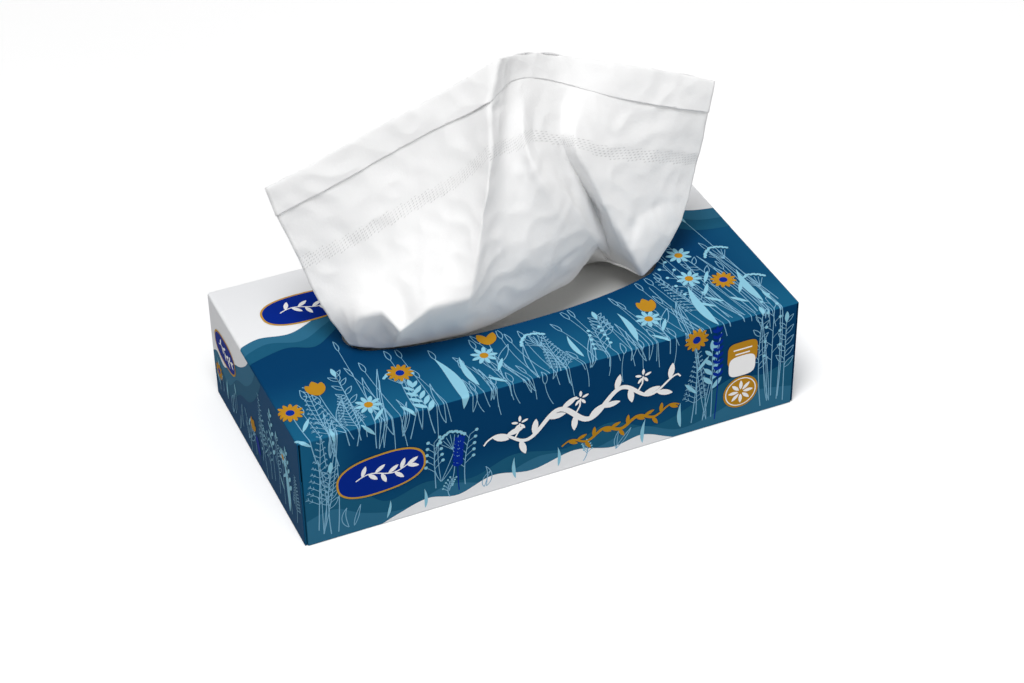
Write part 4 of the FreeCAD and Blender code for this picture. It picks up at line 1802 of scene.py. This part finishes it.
    def piece(self, ink: Ink) -> bpy.types.Object:
        """Make one ink's piece: gather, cut at the folds and the card's edges, and wrap.

        Args:
            ink: the ink.

        Returns:
            The finished piece.
        """
        material = InkFilm(ink).build()
        lift = self.first_lift + self.layer_lift * ink.value[1]
        vertices: list[Vector] = []
        faces: list[list[int]] = []
        for face in Face:
            flat = self.flat(face, ink, material)
            self.trim(flat, face)
            for part in flat.faces:
                if part.normal.z < 0:
                    part.normal_flip()
            first = len(vertices)
            flat.verts.index_update()
            vertices += [self.wrap(face, v.co.x, v.co.y, lift + v.co.z) * MM for v in flat.verts]
            faces += [[first + v.index for v in part.verts] for part in flat.faces]
            flat.free()
        piece = mesh_object("print_" + ink.name.lower(), vertices, faces)
        piece.data.materials.append(material)
        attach(piece, "root")
        LOG.info("%s: %d faces", piece.name, len(faces))
        return piece

    def trim(self, flat: bmesh.types.BMesh, face: Face) -> None:
        """Cut the artwork where the card bends, and drop what lies past the card's edges.

        Args:
            flat: the artwork.
            face: its chart.
        """
        radius, half, high, wide = self.fold_radius, self.half, self.high, self.wide
        bends = [i * radius / 2 for i in (-2, -1, 0, 1, 2)]
        if face is Face.SLEEVE:
            folds = [fold + bend for fold in (high, high + wide) for bend in bends]
            ends = [sign * (half + bend) for sign in (-1, 1) for bend in bends]
            ends += [half - self.end_margin, self.end_margin - half]
            feet = [self.foot_margin, 2 * high + wide - self.foot_margin]
        else:
            folds = [self.end_foot_margin, high - radius]
            ends = [sign * (wide / 2 - radius + i * radius / 4) for sign in (-1, 1) for i in range(5)]
            feet = []
        cuts = [((0, 1, 0), (0, place, 0)) for place in folds]
        cuts += [((1, 0, 0), (place, 0, 0)) for place in ends]
        cuts += [((0, 1, 0), (0, place, 0)) for place in feet]
        for normal, spot in cuts:
            bmesh.ops.bisect_plane(flat, geom=flat.verts[:] + flat.edges[:] + flat.faces[:], dist=1e-5,
                                   plane_co=spot, plane_no=normal)
        gone = [part for part in flat.faces if not self.on_card(part, face)]
        bmesh.ops.delete(flat, geom=gone, context="FACES")

    def on_card(self, part: bmesh.types.BMFace, face: Face) -> bool:
        """Tell whether a bit of artwork lies on card that is printed.

        Args:
            part: the bit.
            face: its chart.

        Returns:
            False past the card's edges and over the mouth.
        """
        radius, half, high, wide = self.fold_radius, self.half, self.high, self.wide
        x, y, _ = part.calc_center_median()
        if face is not Face.SLEEVE:
            return abs(x) < wide / 2 and self.end_foot_margin < y < high - radius
        if high + radius < y < high + wide - radius:
            limit = half + radius
        elif high - radius < y < high + wide + radius:
            limit = half - radius
        else:
            limit = half - self.end_margin
        if abs(x) >= limit or not self.foot_margin < y < 2 * high + wide - self.foot_margin:
            return False
        # Nothing is printed on air: the mouth is cut out
        middle, tip = high + wide / 2, self.mouth_ellipses[1][0] + self.mouth_margin
        return all(abs(v.co.y - middle) > middle - self.mouth_edge(v.co.x, self.mouth_margin)
                   or abs(v.co.x) > tip for v in part.verts)

    def wrap(self, face: Face, x: float, y: float, lift: float) -> Vector:
        """Take a point of the flat artwork to its place on the carton.

        Args:
            face: its chart.
            x: its place across the chart.
            y: its place up the chart.
            lift: its height over the card.

        Returns:
            The place, in millimetres.
        """
        radius, half, high, deep = self.fold_radius, self.half, self.high, self.wide / 2
        if face is not Face.SLEEVE:
            # Past the upright fold's start, the film follows the fold
            over = max(abs(x) - (deep - radius), 0.0) / radius
            out = half - radius + (radius + lift) * math.cos(over)
            side = math.copysign(min(abs(x), deep - radius) + (radius + lift) * math.sin(over), x)
            return Vector((-out, -side, y) if face is Face.LEFT_END else (out, side, y))
        back_side = y > high + deep
        if back_side:
            y = 2 * (high + deep) - y
        if y < high - radius:
            spot = Vector((x, -deep - lift, y))
        elif y < high + radius:
            # Distance past the fold's start turns into an angle round the fold
            over = (y - (high - radius)) / (2 * radius) * math.pi / 2
            spot = Vector((x, -deep + radius - (radius + lift) * math.cos(over),
                           high - radius + (radius + lift) * math.sin(over)))
        else:
            spot = Vector((x, y - high - deep, high + lift))
        # The top's ends bend down over the ends' upper folds, cuts on the very fold line too
        tolerance = 0.01
        if abs(x) > half - radius and y > high + radius - tolerance:
            down = min((abs(x) - (half - radius)) / (2 * radius), 1.0) * math.pi / 2
            spot.x = math.copysign(half - radius + (radius + lift) * math.sin(down), x)
            spot.z = high - radius + (radius + lift) * math.cos(down)
        if back_side:
            spot.y = -spot.y
        return spot


def read_sizes() -> Sizes:
    """Read the shared sizes from the frame.

    Returns:
        The sizes.
    """
    low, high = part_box("carton")
    return Sizes(low=low, high=high, stack_top=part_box("tissue_stack")[1].z)


def dress(node: str, material: bpy.types.Material) -> None:
    """Give a CAD node its finish.

    Args:
        node: the node's name.
        material: the finish.
    """
    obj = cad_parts[node]
    obj.data.materials.clear()
    obj.data.materials.append(material)
    LOG.info("%s: %s", node, material.name)


def main() -> None:
    """Build and dress every piece in turn."""
    logging.basicConfig(level=logging.INFO, format="%(name)s: %(message)s")
    bpy.context.scene.view_settings.view_transform = "Standard"
    sizes = read_sizes()
    Studio().build()
    dress("carton", PrintedBoard().build(sizes))
    dress("tissue_stack", StackedTissue().build())
    glue = DriedGlue().build()
    for node in ("seam_glue", "end_glue_left", "end_glue_right"):
        dress(node, glue)
    CartonPrint(sizes).build()
    tissue = PulledTissue(sizes).build(TissuePaper().build())
    LOG.info("%s: %d faces", tissue.name, len(tissue.data.polygons))


if __name__ == "__main__":
    main()
